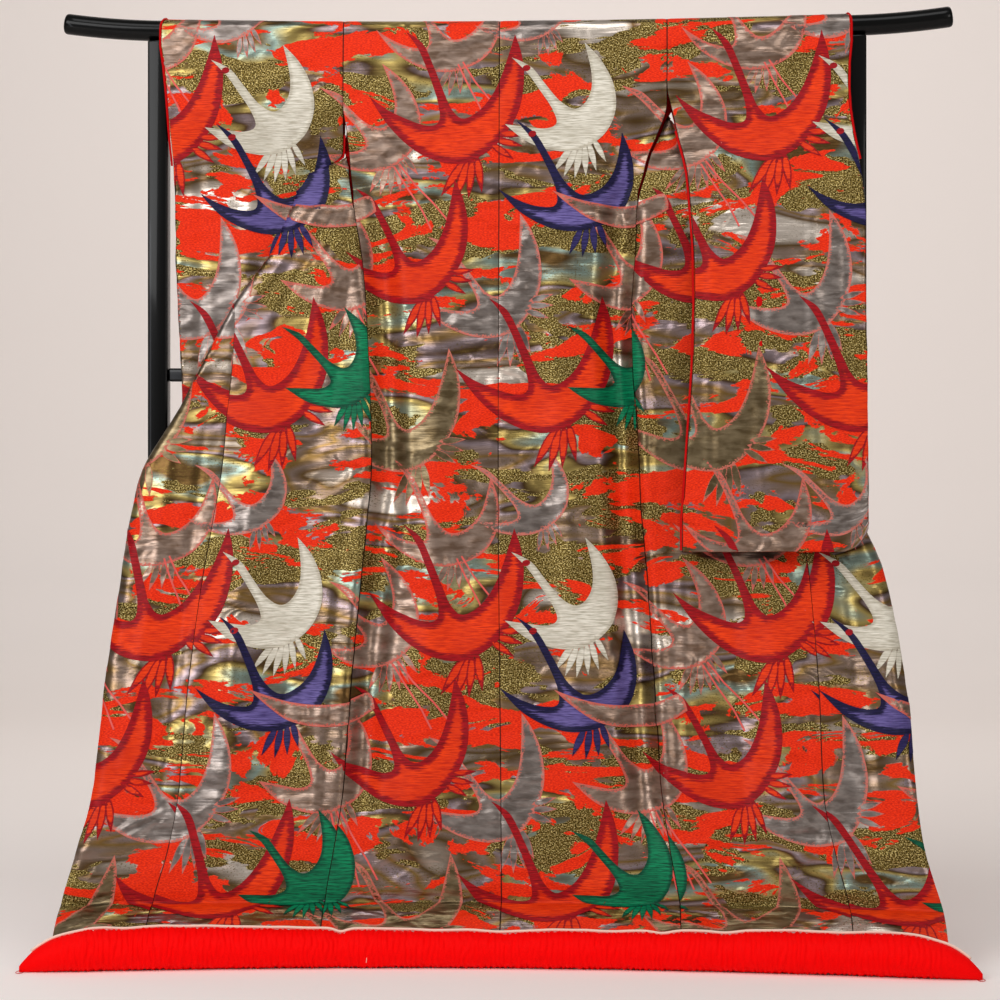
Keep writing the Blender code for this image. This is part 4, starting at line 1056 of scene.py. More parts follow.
def make_brocade(name, cloud_share):
    """Silk and foil weft brocade. Its vermilion clouds, dull gold grain and bright foils give the
    eye the busy ground that the cranes fly over."""
    material, tree = new_material(name)
    red = add(tree, "MapRange", {"Value": lay_pattern(tree, CLOUDS), "From Min": cloud_share,
                                 "From Max": cloud_share + 0.006})
    foil = add(tree, "MapRange", {"Value": lay_pattern(tree, FOIL_SHEETS), "From Min": 0.475,
                                  "From Max": 0.483})
    foils = add(tree, "ValToRGB", {0: lay_pattern(tree, FOIL_HUES)})
    set_tones(foils, FOIL_TONES)
    grain = lay_pattern(tree, GOLD_GRAIN)
    gold = add(tree, "ValToRGB", {0: grain})
    set_tones(gold, GOLD_TONES)
    flecks = add(tree, "MapRange", {"Value": lay_pattern(tree, GOLD_FLECKS), "From Min": 0.56,
                                    "From Max": 0.66})
    worn = add(tree, "MapRange", {"Value": lay_pattern(tree, WORN_PLACES), "From Min": 0.42,
                                  "From Max": 0.62})
    rub = add(tree, "Math", {0: flecks, 1: worn}, operation="MULTIPLY")
    rubbed = add(tree, "MixRGB", {0: rub, 1: foils, 2: linear("6B5A2C")})
    ground = add(tree, "MixRGB", {0: foil, 1: gold, 2: rubbed})
    picks = add(tree, "MapRange", {"Value": lay_pattern(tree, SILK_PICKS), "From Min": 0.35,
                                   "From Max": 0.65})
    vermilion = add(tree, "MixRGB", {0: picks, 1: linear("C81C04"), 2: linear("F83808")})
    woven = add(tree, "MixRGB", {0: red, 1: ground, 2: vermilion})

    # The line of shade along a sewn edge is about 1 mm wide
    from_edge = add(tree, "Attribute", out="Fac", attribute_name="rim")
    from_seam = add(tree, "MapRange", {"Value": from_edge, "From Min": 0.0006, "From Max": 0.0016})
    colour = add(tree, "MixRGB", {0: from_seam, 1: linear("1C0D08"), 2: woven})

    bare = add(tree, "Math", {0: 1.0, 1: red}, operation="SUBTRACT")
    metal = add(tree, "MapRange", {"Value": foil, "To Min": 0.75, "To Max": 0.95})
    shine = add(tree, "Math", {0: metal, 1: bare}, operation="MULTIPLY")
    gloss = add(tree, "MapRange", {"Value": foil, "To Min": GRAIN_ROUGHNESS, "To Max": FOIL_ROUGHNESS})
    roughness = add(tree, "MixRGB", {0: red, 1: gloss, 2: (SILK_ROUGHNESS,) * 3 + (1,)})
    coarse = add(tree, "MapRange", {"Value": foil, "To Min": 0.5, "To Max": 0.08})
    sparkle = add(tree, "Bump", {"Height": grain, "Strength": coarse, "Distance": GRAIN_DEPTH,
                                 "Normal": dent_foil(tree)})
    raised = add(tree, "Bump", {"Height": red, "Strength": 0.6, "Distance": CLOUD_DEPTH,
                                "Normal": sparkle})
    finish_surface(tree, {"Base Color": colour, "Metallic": shine, "Roughness": roughness,
                          "Normal": raised, "Specular IOR Level": 0.15})
    return material


def make_thread(name, body, body_dark, border, border_light, border_width):
    """Floats of untwisted silk thread. A darker border and the fine ribs of the thread give the
    eye the raised, satiny crane."""
    material, tree = new_material(name)
    rim = add(tree, "Attribute", out="Fac", attribute_name="rim")
    border_here = add(tree, "Math", {0: lay_pattern(tree, RAGGED_BORDER), 1: 2.2 * border_width,
                                     2: -0.1 * border_width}, operation="MULTIPLY_ADD")
    inside = add(tree, "Math", {0: rim, 1: border_here}, operation="SUBTRACT")
    share = add(tree, "MapRange", {"Value": inside, "From Min": -0.0022, "From Max": 0.0022})
    floats = lay_pattern(tree, FLOATS)
    shade = add(tree, "MapRange", {"Value": lay_pattern(tree, FLOAT_SHADE), "From Min": 0.36,
                                   "From Max": 0.62, "To Min": 0.55})
    ribbed = add(tree, "MapRange", {"Value": floats, "From Min": 0.36, "From Max": 0.60})
    lit = add(tree, "Math", {0: ribbed, 1: shade}, operation="MULTIPLY")
    tint = add(tree, "MixRGB", {0: lit, 1: linear(body_dark), 2: linear(body)})
    edge = add(tree, "MixRGB", {0: ribbed, 1: linear(border), 2: linear(border_light)})
    colour = add(tree, "MixRGB", {0: share, 1: edge, 2: tint})
    ribs = add(tree, "Bump", {"Height": floats, "Strength": 0.7, "Distance": FLOAT_DEPTH})
    finish_surface(tree, {"Base Color": colour, "Roughness": 0.45, "Normal": ribs,
                          "Specular IOR Level": 0.16})
    return material


def make_flat_foil(name, dark, light, outline, outline_width):
    """Flat foil crane. The thin rosy outline gives the eye the crane that is only half seen."""
    material, tree = new_material(name)
    rim = add(tree, "Attribute", out="Fac", attribute_name="rim")
    outline_here = add(tree, "Math", {0: lay_pattern(tree, FRAYED_OUTLINE), 1: 0.024,
                                      2: outline_width - 0.012}, operation="MULTIPLY_ADD")
    past_outline = add(tree, "Math", {0: rim, 1: outline_here}, operation="SUBTRACT")
    inside = add(tree, "MapRange", {"Value": past_outline, "From Min": -0.0006, "From Max": 0.0006})
    mottle = add(tree, "MapRange", {"Value": lay_pattern(tree, FOIL_MOTTLE), "From Min": 0.35,
                                    "From Max": 0.65})
    tone = add(tree, "MixRGB", {0: mottle, 1: linear(dark), 2: linear(light)})
    colour = add(tree, "MixRGB", {0: inside, 1: linear(outline), 2: tone})
    shine = add(tree, "MapRange", {"Value": inside, "To Min": 0.1, "To Max": 0.85})
    roughness = add(tree, "MapRange", {"Value": inside, "To Min": 0.6, "To Max": 0.34})
    finish_surface(tree, {"Base Color": colour, "Metallic": shine, "Roughness": roughness,
                          "Normal": dent_foil(tree)})
    return material


def make_silk(name, code, roughness, rib_mm, sheen):
    """Plain silk, whose fine ribs and sheen give the eye a soft saturated colour."""
    material, tree = new_material(name)
    place = add(tree, "TexCoord", out="Object")
    fine = add(tree, "TexNoise", {"Vector": place, "Scale": 1000 / rib_mm, "Detail": 2.0})
    ribs = add(tree, "Bump", {"Height": fine, "Strength": 0.25, "Distance": RIB_DEPTH})
    finish_surface(tree, {"Base Color": linear(code), "Roughness": roughness, "Normal": ribs,
                          "Sheen Weight": sheen, "Sheen Roughness": 0.4, "Sheen Tint": linear(code),
                          "Specular IOR Level": 0.06})
    return material


def make_lacquer(name, wave_mm):
    """Black lacquer on wood, whose clear coat gives the eye narrow bright lines."""
    material, tree = new_material(name)
    place = add(tree, "TexCoord", out="Object")
    waves = add(tree, "TexNoise", {"Vector": place, "Scale": 1000 / wave_mm, "Detail": 1.0})
    rise = add(tree, "Bump", {"Height": waves, "Strength": 0.05, "Distance": LACQUER_DEPTH})
    finish_surface(tree, {"Base Color": linear("030303"), "Roughness": 0.32, "Normal": rise,
                          "Coat Weight": 0.2, "Coat Roughness": 0.08, "Specular IOR Level": 0.08})
    return material


def make_item(name, points, faces, materials, uv=None, rim=None):
    """A mesh object, with each point's place on the bolt and its distance from a rim if it has them."""
    mesh = bpy.data.meshes.new(name)
    mesh.from_pydata([tuple(point) for point in points], [], faces)
    for material in materials:
        mesh.materials.append(material)
    if uv is not None:
        layer = mesh.uv_layers.new(name="bolt")
        order = np.zeros(len(mesh.loops), np.int32)
        mesh.loops.foreach_get("vertex_index", order)
        layer.data.foreach_set("uv", np.asarray(uv)[order].ravel())
    if rim is not None:
        mesh.attributes.new("rim", "FLOAT", "POINT").data.foreach_set("value", np.asarray(rim, float))
    mesh.shade_smooth()
    item = bpy.data.objects.new(name, mesh)
    bpy.context.scene.collection.objects.link(item)
    return item


def build_cloth(cloth, material, lining, node, slot, wall=WALL):
    """The shell of a cloth piece, with brocade on the right side and lining on the other."""
    rows, columns = cloth.points.shape[:2]
    corner = (np.arange(rows - 1)[:, None] * columns + np.arange(columns - 1)[None, :]).ravel()
    faces = np.stack((corner, corner + columns, corner + columns + 1, corner + 1), axis=1)
    if cloth.side == LEFT:
        faces = faces[:, ::-1]
    down = np.repeat(cloth.down[:, None], columns, axis=1)
    uv = np.stack((cloth.across, down), axis=2).reshape(-1, 2)
    rim = np.full((rows, columns), CELL)
    rim[:, cloth.sewn] = 0.0
    points = cloth.points.reshape(-1, 3)
    item = make_item(cloth.name, points, faces.tolist(), (material, lining), uv, rim.ravel())
    shape = bmesh.new()
    shape.from_mesh(item.data)
    bmesh.ops.remove_doubles(shape, verts=shape.verts, dist=1e-5)
    shape.to_mesh(item.data)
    shape.free()
    thick = item.modifiers.new("wall", "SOLIDIFY")
    thick.thickness = wall
    thick.offset = 0.0
    thick.material_offset = 1
    thick.material_offset_rim = 1
    item.modifiers.new("crisp_rims", "EDGE_SPLIT").split_angle = math.radians(55)
    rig.ride(item, "root")
    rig.replaces(item, node)
    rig.slot(item, slot)
    return item


# Crane outlines in centimetres, with X across the bolt and Y up it, their tail feathers, each with
# its root, tip and half width, and the place of the red cap
Crane = namedtuple("Crane", "outline feathers cap")
CRANES = {
    "swept": Crane(
        ((-19, 6), (-15.6, 3.6), (-12, 1.9), (-7.2, 0.3), (-4.4, 1.0), (-4.6, 5), (-6.9, 11.4),
         (-9.3, 16.6), (-11.9, 20.0), (-8.3, 17.6), (-5.9, 13.0), (-3.5, 7.4), (-1.6, 3.6), (1.0, 1.9),
         (5.0, 4.6), (8.2, 10.4), (11, 20), (12.6, 15.5), (13.2, 10), (12.2, 3.6), (9.2, -1.8),
         (5.2, -5.6), (0.4, -7.6), (-5, -7), (-10.4, -4.2), (-15.2, 0.4)),
        ((1.6, -6.4, -3.4, -14.6, 0.95), (2.2, -6.4, -0.4, -15.6, 0.95), (3.0, -6.0, 2.4, -15.0, 0.9),
         (3.8, -5.6, 5.2, -13.6, 0.9), (6.4, -3.0, 11.6, -6.4, 0.8), (7.2, -2.2, 13.4, -3.6, 0.8),
         (7.8, -1.2, 14.0, -1.0, 0.75)),
        (-8.8, 17.2)),
    "lofty": Crane(
        ((-15.5, -0.5), (-11, -0.9), (-6.0, -1.2), (-3.4, 0.2), (-4.6, 3.6), (-7.6, 7.8),
         (-10.8, 11.9), (-14.6, 15.4), (-10.0, 13.4), (-6.6, 9.6), (-3.0, 5.6), (0.4, 3.7), (2.8, 4.8),
         (4.4, 8.2), (4.2, 13.0), (2.4, 19.5), (6.4, 15.6), (9.4, 10.4), (10.4, 4.6), (8.8, -0.8),
         (5.0, -4.6), (0, -6.4), (-5.6, -6.0), (-10.6, -4.2)),
        ((0.6, -5.0, -3.6, -11.4, 0.8), (1.6, -5.0, -1.2, -12.6, 0.8), (2.6, -4.8, 1.4, -12.8, 0.8),
         (3.4, -4.4, 4.0, -12.2, 0.8), (4.2, -3.8, 6.4, -10.8, 0.75), (5.2, -3.0, 8.6, -8.6, 0.7)),
        (-11.0, 13.0)),
    "glide": Crane(
        ((-18, 3), (-13.6, 0.2), (-9.0, -1.6), (-5.0, -1.6), (-4.6, 2.0), (-6.6, 8.0), (-9.6, 14.4),
         (-13.0, 19.0), (-8.6, 15.6), (-5.4, 9.6), (-2.4, 3.8), (1.6, 0.4), (6.2, 2.0), (9.6, 6.6),
         (11.6, 14.6), (13.6, 8.4), (13.4, 2.0), (10.6, -3.6), (5.6, -6.8), (-0.6, -8.0), (-7, -6.6),
         (-13.4, -2.6)),
        ((1.0, -7.0, -2.4, -13.4, 0.8), (2.2, -6.8, 0.6, -14.2, 0.8), (3.4, -6.4, 3.6, -13.6, 0.8),
         (4.6, -6.0, 6.2, -12.0, 0.75)),
        (-9.4, 15.6)),
    "wing": Crane(
        ((-11, 1.2), (-5, -0.5), (1, -1.1), (7, -0.5), (12, 1.4), (13.5, -1.4), (9, -4.0), (3, -5.0),
         (-3, -4.2), (-7.5, -1.6)),
        (), (0, 0)),
}
LEGS = (
    ((3.0, -6.0), (5.4, -11.0), (8.6, -17.0), (10.4, -22.0)),
    ((4.2, -5.4), (7.4, -10.6), (11.6, -15.8), (14.4, -20.0)),
)
LEG_HALF_WIDTH = 0.22

# Size of the triangles that fill a body, a feather and a small part, and their distance from its rim
BODY_CELL = 0.62
FEATHER_CELL = 0.7
SMALL_CELL = 1.2
RIM_CLEARANCE = 0.22
CURVE_STEPS = 5
CAP_CORNERS = 12


def smooth_outline(points):
    """A closed curve through the points, which keeps their sharp turns sharp."""
    points = np.array(points, float)
    total = len(points)
    before, after = np.roll(points, 1, axis=0), np.roll(points, -1, axis=0)
    incoming, outgoing = points - before, after - points
    lengths = np.linalg.norm(incoming, axis=1) * np.linalg.norm(outgoing, axis=1)
    cosine = (incoming * outgoing).sum(1) / lengths
    pull = (after - before) / 2 * (cosine > 0.1)[:, None]
    line = []
    for index in range(total):
        start, end = points[index], points[(index + 1) % total]
        for step in range(CURVE_STEPS):
            share = step / CURVE_STEPS
            cube, square = share ** 3, share ** 2
            line.append((2 * cube - 3 * square + 1) * start + (cube - 2 * square + share) * pull[index]
                        + (3 * square - 2 * cube) * end + (cube - square) * pull[(index + 1) % total])
    return np.array(line)


def rim_distance(points, outline):
    """Distance of each point from a closed outline."""
    starts, ends = outline, np.roll(outline, -1, axis=0)
    span = ends - starts
    nearest = np.full(len(points), 1e9)
    for start, run in zip(starts, span):
        share = np.clip(((points - start) @ run) / max(run @ run, 1e-12), 0, 1)
        gap = np.linalg.norm(points - start - share[:, None] * run, axis=1)
        nearest = np.minimum(nearest, gap)
    return nearest


def fill_outline(outline, cell):
    """Triangles that fill a closed outline, with each point's distance from the rim."""
    low, high = outline.min(0), outline.max(0)
    inner = []
    for row, y in enumerate(np.arange(low[1] + cell / 2, high[1], cell * 0.87)):
        for x in np.arange(low[0] + cell / 2 * (row % 2), high[0], cell):
            inner.append((x, y))
    inner = np.array(inner)
    crossing = np.zeros(len(inner), bool)
    for (x0, y0), (x1, y1) in zip(outline, np.roll(outline, -1, axis=0)):
        spans = (y0 > inner[:, 1]) != (y1 > inner[:, 1])
        at = (x1 - x0) * (inner[:, 1] - y0) / ((y1 - y0) if y1 != y0 else 1e-9) + x0
        crossing ^= spans & (inner[:, 0] < at)
    inner = inner[crossing]
    inner = inner[rim_distance(inner, outline) > RIM_CLEARANCE]
    points = [Vector(point) for point in np.vstack((outline, inner))]
    edges = [(index, (index + 1) % len(outline)) for index in range(len(outline))]
    found = delaunay_2d_cdt(points, edges, [], 1, 1e-5)
    spots = np.array([tuple(point) for point in found[0]])
    return spots, [tuple(face) for face in found[2]], rim_distance(spots, outline)


def feather_outline(root_x, root_y, tip_x, tip_y, half):
    start, end = np.array((root_x, root_y)), np.array((tip_x, tip_y))
    run = end - start
    across = np.array((-run[1], run[0])) / np.linalg.norm(run) * half
    left = [start + run * share + across * math.sin(math.pi * share ** 0.8) for share in spread(8)]
    right = [start + run * share - across * math.sin(math.pi * share ** 0.8) for share in spread(8)[1:-1]]
    return np.array(left + right[::-1])


def leg_outline(points):
    """A thin closed outline along a leg, in steps of about a centimetre."""
    points = np.array(points, float)
    reach = np.append(0.0, np.cumsum(np.linalg.norm(np.diff(points, axis=0), axis=1)))
    even = np.linspace(0, reach[-1], round(reach[-1]) + 1)
    points = np.stack([np.interp(even, reach, points[:, axis]) for axis in (0, 1)], axis=1)
    run = np.gradient(points, axis=0)
    across = np.stack((-run[:, 1], run[:, 0]), axis=1) / np.linalg.norm(run, axis=1, keepdims=True)
    across = across * LEG_HALF_WIDTH
    return np.vstack((points + across, (points - across)[::-1]))


def cap_outline(x, y):
    turns = [2 * math.pi * step / CAP_CORNERS for step in range(CAP_CORNERS)]
    return np.array([(x + 0.95 * math.cos(turn), y + 0.75 * math.sin(turn) + 0.1 * math.cos(turn))
                     for turn in turns])


def crane_parts(crane):
    """Filled shapes of a crane's parts. A feather's rim counts five times, so its border is thin."""
    feathers = []
    for feather in crane.feathers:
        spots, triangles, rim = fill_outline(feather_outline(*feather), FEATHER_CELL)
        feathers.append((spots, triangles, rim * 5))
    return {
        "body": [fill_outline(smooth_outline(crane.outline), BODY_CELL)],
        "feathers": feathers,
        "cap": [fill_outline(cap_outline(*crane.cap), SMALL_CELL)],
        "legs": [fill_outline(leg_outline(leg), SMALL_CELL) for leg in LEGS],
    }


CRANE_PARTS = {name: crane_parts(crane) for name, crane in CRANES.items()}


def place_on_bolt(spots, across, down, scale, turn):
    """Places of a flat shape's points across the bolt and down it, in metres."""
    cosine, sine = math.cos(turn) * scale / 100, math.sin(turn) * scale / 100
    return np.stack((across + spots[:, 0] * cosine - spots[:, 1] * sine,
                     down - spots[:, 0] * sine - spots[:, 1] * cosine), axis=1)


def trim_face(ring, bounds):
    """A face of rows of values, cut off at each bound: a column, its limit and the side kept."""
    for column, limit, sign in bounds:
        kept = []
        for first, second in zip(ring, ring[1:] + ring[:1]):
            gap_first, gap_second = sign * (first[column] - limit), sign * (second[column] - limit)
            if gap_first >= 0:
                kept.append(first)
            if (gap_first >= 0) != (gap_second >= 0):
                kept.append(first + (second - first) * gap_first / (gap_first - gap_second))
        ring = kept
        if len(ring) < 3:
            return []
    return ring


# How close a crane comes to a piece's edges: a share of its width at the sides, metres at the ends
SIDE_MARGIN = 0.003
TOP_MARGIN = 0.0005
BOTTOM_MARGIN = 0.0008


def lay_shape(cloth, shape, across, down, scale, turn, lift, store):
    """Lays a flat shape on a cloth piece, cut off at the piece's edges, and adds it to a store."""
    spots, faces, rim = shape
    bolt = place_on_bolt(spots, across, down, scale, turn)
    if (bolt[:, 1].max() < cloth.down[0] or bolt[:, 1].min() > cloth.down[-1]
            or bolt[:, 0].max() < cloth.across.min() or bolt[:, 0].min() > cloth.across.max()):
        return
    share = cloth.share(bolt[:, 0], bolt[:, 1])
    values = np.column_stack((share, bolt[:, 1], bolt[:, 0], rim * scale / 100))
    bounds = ((0, SIDE_MARGIN, 1), (0, 1 - SIDE_MARGIN, -1),
              (1, cloth.down[0] + TOP_MARGIN, 1), (1, cloth.down[-1] - BOTTOM_MARGIN, -1))
    inside = np.ones(len(values), bool)
    for column, limit, sign in bounds:
        inside &= sign * (values[:, column] - limit) >= 0
    if not inside.any() and (share.max() < 0 or share.min() > 1):
        return
    corners, polygons, index_of = [], [], {}

    def corner_index(row, key):
        if key not in index_of:
            index_of[key] = len(corners)
            corners.append(row)
        return index_of[key]

    for face in faces:
        if inside[list(face)].all():
            polygons.append([corner_index(values[index], index) for index in face])
            continue
        ring = trim_face([values[index] for index in face], bounds)
        if ring:
            polygons.append([corner_index(row, tuple(np.round(row, 6))) for row in ring])
    polygons = [face for face in polygons if len(set(face)) > 2]
    if not polygons:
        return
    corners = np.array(corners)
    rows = np.interp(corners[:, 1], cloth.down, np.arange(len(cloth.down)))
    columns = np.interp(corners[:, 0], cloth.shares, np.arange(len(cloth.shares)))
    row = np.minimum(rows.astype(int), len(cloth.down) - 2)
    column = np.minimum(columns.astype(int), len(cloth.shares) - 2)
    past, over = (rows - row)[:, None], (columns - column)[:, None]
    found = []
    for grid in (cloth.points, cloth.upright):
        upper = grid[row, column] * (1 - over) + grid[row, column + 1] * over
        lower = grid[row + 1, column] * (1 - over) + grid[row + 1, column + 1] * over
        found.append(upper * (1 - past) + lower * past)
    start = len(store["points"])
    store["points"].extend(found[0] + found[1] * lift)
    order = 1 if cloth.side == RIGHT else -1
    store["faces"].extend([[start + index for index in face][::order] for face in polygons])
    store["uv"].extend(corners[:, (2, 1)])
    store["rim"].extend(corners[:, 3])


# Cranes on the bolt: outline, thread, place across and down, size, turn and height above the cloth
Flight = namedtuple("Flight", "outline thread across down scale turn lift")
FLIGHTS = (
    Flight("lofty", "rose_foil", -0.225, 0.215, 0.78, 0.10, 0.0002),
    Flight("swept", "silver_foil", -0.005, 0.520, 0.78, 0.25, 0.0002),
    Flight("lofty", "rose_foil", 0.255, 0.480, 0.80, -0.10, 0.0002),
    Flight("swept", "taupe_foil", -0.175, 0.770, 0.82, 0.05, 0.0002),
    Flight("glide", "rose_foil", -0.100, 0.950, 0.74, 0.0, 0.0002),
    Flight("glide", "silver_foil", 0.060, 0.900, 0.60, 0.35, 0.0002),
    Flight("swept", "red_thread", -0.075, 0.185, 0.90, -0.03, 0.0005),
    Flight("swept", "red_thread", -0.160, 0.455, 0.82, 0.08, 0.0005),
    Flight("swept", "red_thread", 0.095, 0.690, 0.92, 0.02, 0.0006),
    Flight("lofty", "white_thread", 0.135, 0.180, 0.80, -0.04, 0.0008),
    Flight("glide", "purple_thread", 0.145, 0.318, 0.80, 0.06, 0.0010),
    Flight("lofty", "green_thread", 0.240, 0.665, 0.72, 0.06, 0.0010),
    Flight("wing", "rose_foil", 0.212, 0.322, 1.02, -0.04, 0.0020),
)
TAIL_THREADS = {"purple_thread": "navy_thread"}

# Where the pattern starts down the bolt, how far the right sleeve's is shifted, and the heights of
# threads over the shell and over each other
PATTERN_START = 0.033
RIGHT_SLEEVE_SHIFT = -0.015
THREAD_CLEARANCE = 0.0003
TAIL_DROP = 0.0001
DETAIL_RISE = 0.0002
FEATHER_STEP = 0.00003


def flight_groups(flight):
    """The parts of one crane, each with its thread and its height above the cloth."""
    groups = [("feathers", TAIL_THREADS.get(flight.thread, flight.thread), flight.lift - TAIL_DROP),
              ("body", flight.thread, flight.lift)]
    if flight.thread == "rose_foil" and flight.outline != "wing":
        groups.append(("legs", "rose_line", flight.lift + DETAIL_RISE))
    if flight.thread in ("white_thread", "purple_thread"):
        groups.append(("cap", "red_thread", flight.lift + DETAIL_RISE))
    return groups


def fly_cranes(cloth, threads, shift):
    """The cranes on one cloth piece, one object for each kind of thread."""
    stores = {}
    for flight in FLIGHTS:
        for turn_across in range(-3, 4):
            for turn_down in range(-2, 3):
                across = flight.across + REPEAT_ACROSS * turn_across + shift
                down = flight.down + REPEAT_DOWN * turn_down + PATTERN_START
                for part, thread, lift in flight_groups(flight):
                    store = stores.setdefault(thread, {"points": [], "faces": [], "uv": [], "rim": []})
                    for index, shape in enumerate(CRANE_PARTS[flight.outline][part]):
                        height = WALL / 2 + THREAD_CLEARANCE + lift + FEATHER_STEP * index
                        lay_shape(cloth, shape, across, down, flight.scale, flight.turn, height, store)
    laid = []
    for thread, store in stores.items():
        if store["faces"]:
            item = make_item(cloth.name + "_" + thread, store["points"], store["faces"],
                             (threads[thread],), store["uv"], store["rim"])
            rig.ride(item, "root")
            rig.slot(item, "brocade")
            laid.append(item)
    return laid


UP = Vector((0, 0, 1))


def tube_item(name, path, radii, sides, material, floor=None, wrinkle=None):
    """A round closed piece along a path of points from the rack's middle."""
    points, faces = [], []
    last = len(path) - 1
    for index, centre in enumerate(path):
        along = path[min(index + 1, last)] - path[max(index - 1, 0)]
        if floor is not None:
            along.z = 0.0
        along.normalize()
        across = along.cross(UP).normalized()
        rise = across.cross(along)
        for step in range(sides):
            turn = 2 * math.pi * step / sides
            radius = radii[index] * (1 + (wrinkle(centre.x, turn) if wrinkle else 0.0))
            point = centre + (across * math.cos(turn) + rise * math.sin(turn)) * radius
            if floor is not None:
                point.z = max(point.z, floor)
            points.append((point.x, point.y + RACK_SETBACK, point.z))
    for index in range(last):
        for step in range(sides):
            start, following = index * sides + step, index * sides + (step + 1) % sides
            faces.append((start, start + sides, following + sides, following))
    faces.append(tuple(range(sides)))
    faces.append(tuple(last * sides + step for step in reversed(range(sides))))
    item = make_item(name, points, faces, (material,))
    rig.ride(item, "root")
    return item


# The padded roll's stations and sides, the share of it that each kind of wrinkle takes, and its tips
ROLL_STATIONS = 1200
ROLL_SIDES = 40
ROLL_TIP = 0.0005
DRIFT_SHARE = 0.030
PLEAT_SHARE = 0.024
FINE_SHARE = 0.060
SMOOTH_TIP_START = 0.845
SMOOTH_TIP_LENGTH = 0.1
PIPING_STATIONS = 401
PIPING_SIDES = 10
PIPING_FULLNESS = 1.15
PIPING_WAVER = 0.0010


def roll_gathers(x, turn):
    """How far the roll stands out or is drawn in at one place round it, as a share of its radius."""
    round_x, round_z = math.cos(turn), math.sin(turn)
    drift = noise.noise(Vector((x * 26, round_x * 1.4, round_z * 1.4)))
    pleat = math.sin(x * 620 + 6 * noise.noise(Vector((x * 34, round_x, round_z))))
    fine = noise.noise(Vector((x * 210, round_x * 2, round_z * 2)))
    fade = smoothstep((SMOOTH_TIP_START - abs(x)) / SMOOTH_TIP_LENGTH)
    drawn = hem_dip(x) / roll_centre(x)[2] * (0.55 + 0.45 * round_z)
    return (DRIFT_SHARE * drift + PLEAT_SHARE * pleat + FINE_SHARE * fine) * fade - drawn


def build_roll(padding, piping_silk):
    """The padded hem roll, drawn in by many fine gathers, and the piping along its top."""
    half = ROLL_STATIONS // 2
    stations = [HALF_WIDTH * step / half for step in range(-half, half + 1)]
    stations[0] = -HALF_WIDTH + ROLL_TIP
    stations[-1] = HALF_WIDTH - ROLL_TIP
    path = [Vector((x, *roll_centre(x)[:2])) for x in stations]
    radii = [roll_centre(x)[2] for x in stations]
    roll = tube_item("hem_roll_padded", path, radii, ROLL_SIDES, padding, 0.0, roll_gathers)
    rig.replaces(roll, "hem_roll")
    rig.slot(roll, "red_padded_silk")
    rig.padded(roll, 0.85)
    line = [Vector((x, *piping_centre(x))) for x in np.linspace(-PIPING_REACH, PIPING_REACH, PIPING_STATIONS)]
    for point in line:
        point.z += PIPING_WAVER * noise.noise(Vector((point.x * 22, 0, 0))) - hem_dip(point.x)
    radii = [PIPING_RADIUS * PIPING_FULLNESS] * len(line)
    piping = tube_item("hem_piping_cord", line, radii, PIPING_SIDES, piping_silk)
    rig.replaces(piping, "hem_piping")
    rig.slot(piping, "cream_piping")


def rounded_box(name, size, place, bevel, material):
    shape = bmesh.new()
    bmesh.ops.create_cube(shape, size=1.0)
    bmesh.ops.scale(shape, vec=Vector(size), verts=shape.verts)
    bmesh.ops.bevel(shape, geom=shape.edges[:], offset=bevel, segments=3, affect="EDGES", profile=0.5)
    mesh = bpy.data.meshes.new(name)
    shape.to_mesh(mesh)
    shape.free()
    mesh.materials.append(material)
    mesh.shade_smooth()
    mesh.set_sharp_from_angle(angle=math.radians(50))
    item = bpy.data.objects.new(name, mesh)
    item.location = place
    bpy.context.scene.collection.objects.link(item)
    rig.ride(item, "root")
    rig.replaces(item, name.removesuffix("_lacquered"))
    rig.slot(item, "black_lacquer")


# The bar's rounded ends, from the tip inwards: the share of its length and of its radius
BarEnd = namedtuple("BarEnd", "length radius")
BAR_ENDS = (BarEnd(1.0, 0.70), BarEnd(0.9985, 0.86), BarEnd(0.996, 0.96), BarEnd(0.992, 1.0))
BAR_STATIONS = 79
BAR_SIDES = 48

# How round the edges of each other rack piece are
RACK_BEVELS = {"post_left": 0.004, "post_right": 0.004, "foot_left": 0.006, "foot_right": 0.006,
               "mid_rail": 0.004, "low_rail": 0.004}


def build_rack(lacquer):
    middle = (BAR_STATIONS + 1) // 2
    shares = [-end.length for end in BAR_ENDS] + [step / middle for step in range(1 - middle, middle)]
    shares += [end.length for end in reversed(BAR_ENDS)]
    path = [Vector((BAR_HALF_LENGTH * share, 0, bar_height(BAR_HALF_LENGTH * share))) for share in shares]
    radii = [BAR_RADIUS] * len(path)
    for index, end in enumerate(BAR_ENDS):
        radii[index] = BAR_RADIUS * end.radius
        radii[-1 - index] = BAR_RADIUS * end.radius
    bar = tube_item("top_bar_lacquered", path, radii, BAR_SIDES, lacquer)
    bar.data.set_sharp_from_angle(angle=math.radians(40))
    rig.replaces(bar, "top_bar")
    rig.slot(bar, "black_lacquer")
    for name, bevel in RACK_BEVELS.items():
        low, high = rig.box(name)
        rounded_box(name + "_lacquered", high - low, (low + high) / 2, bevel, lacquer)


# Loose threads: half their thickness, and the loop at the roll's left and right tips, as points out
# from the tip, forward of the roll's middle and above the floor
LOOP_RADIUS = 0.0006
LOOSE_RADIUS = 0.0005
LOOSE_X = -0.235
LOOP = (
    (-0.010, 0.004, 0.006), (0.004, 0.012, 0.003), (0.002, 0.022, 0.0012),
    (-0.010, 0.020, 0.0012), (-0.012, 0.010, 0.003),
)


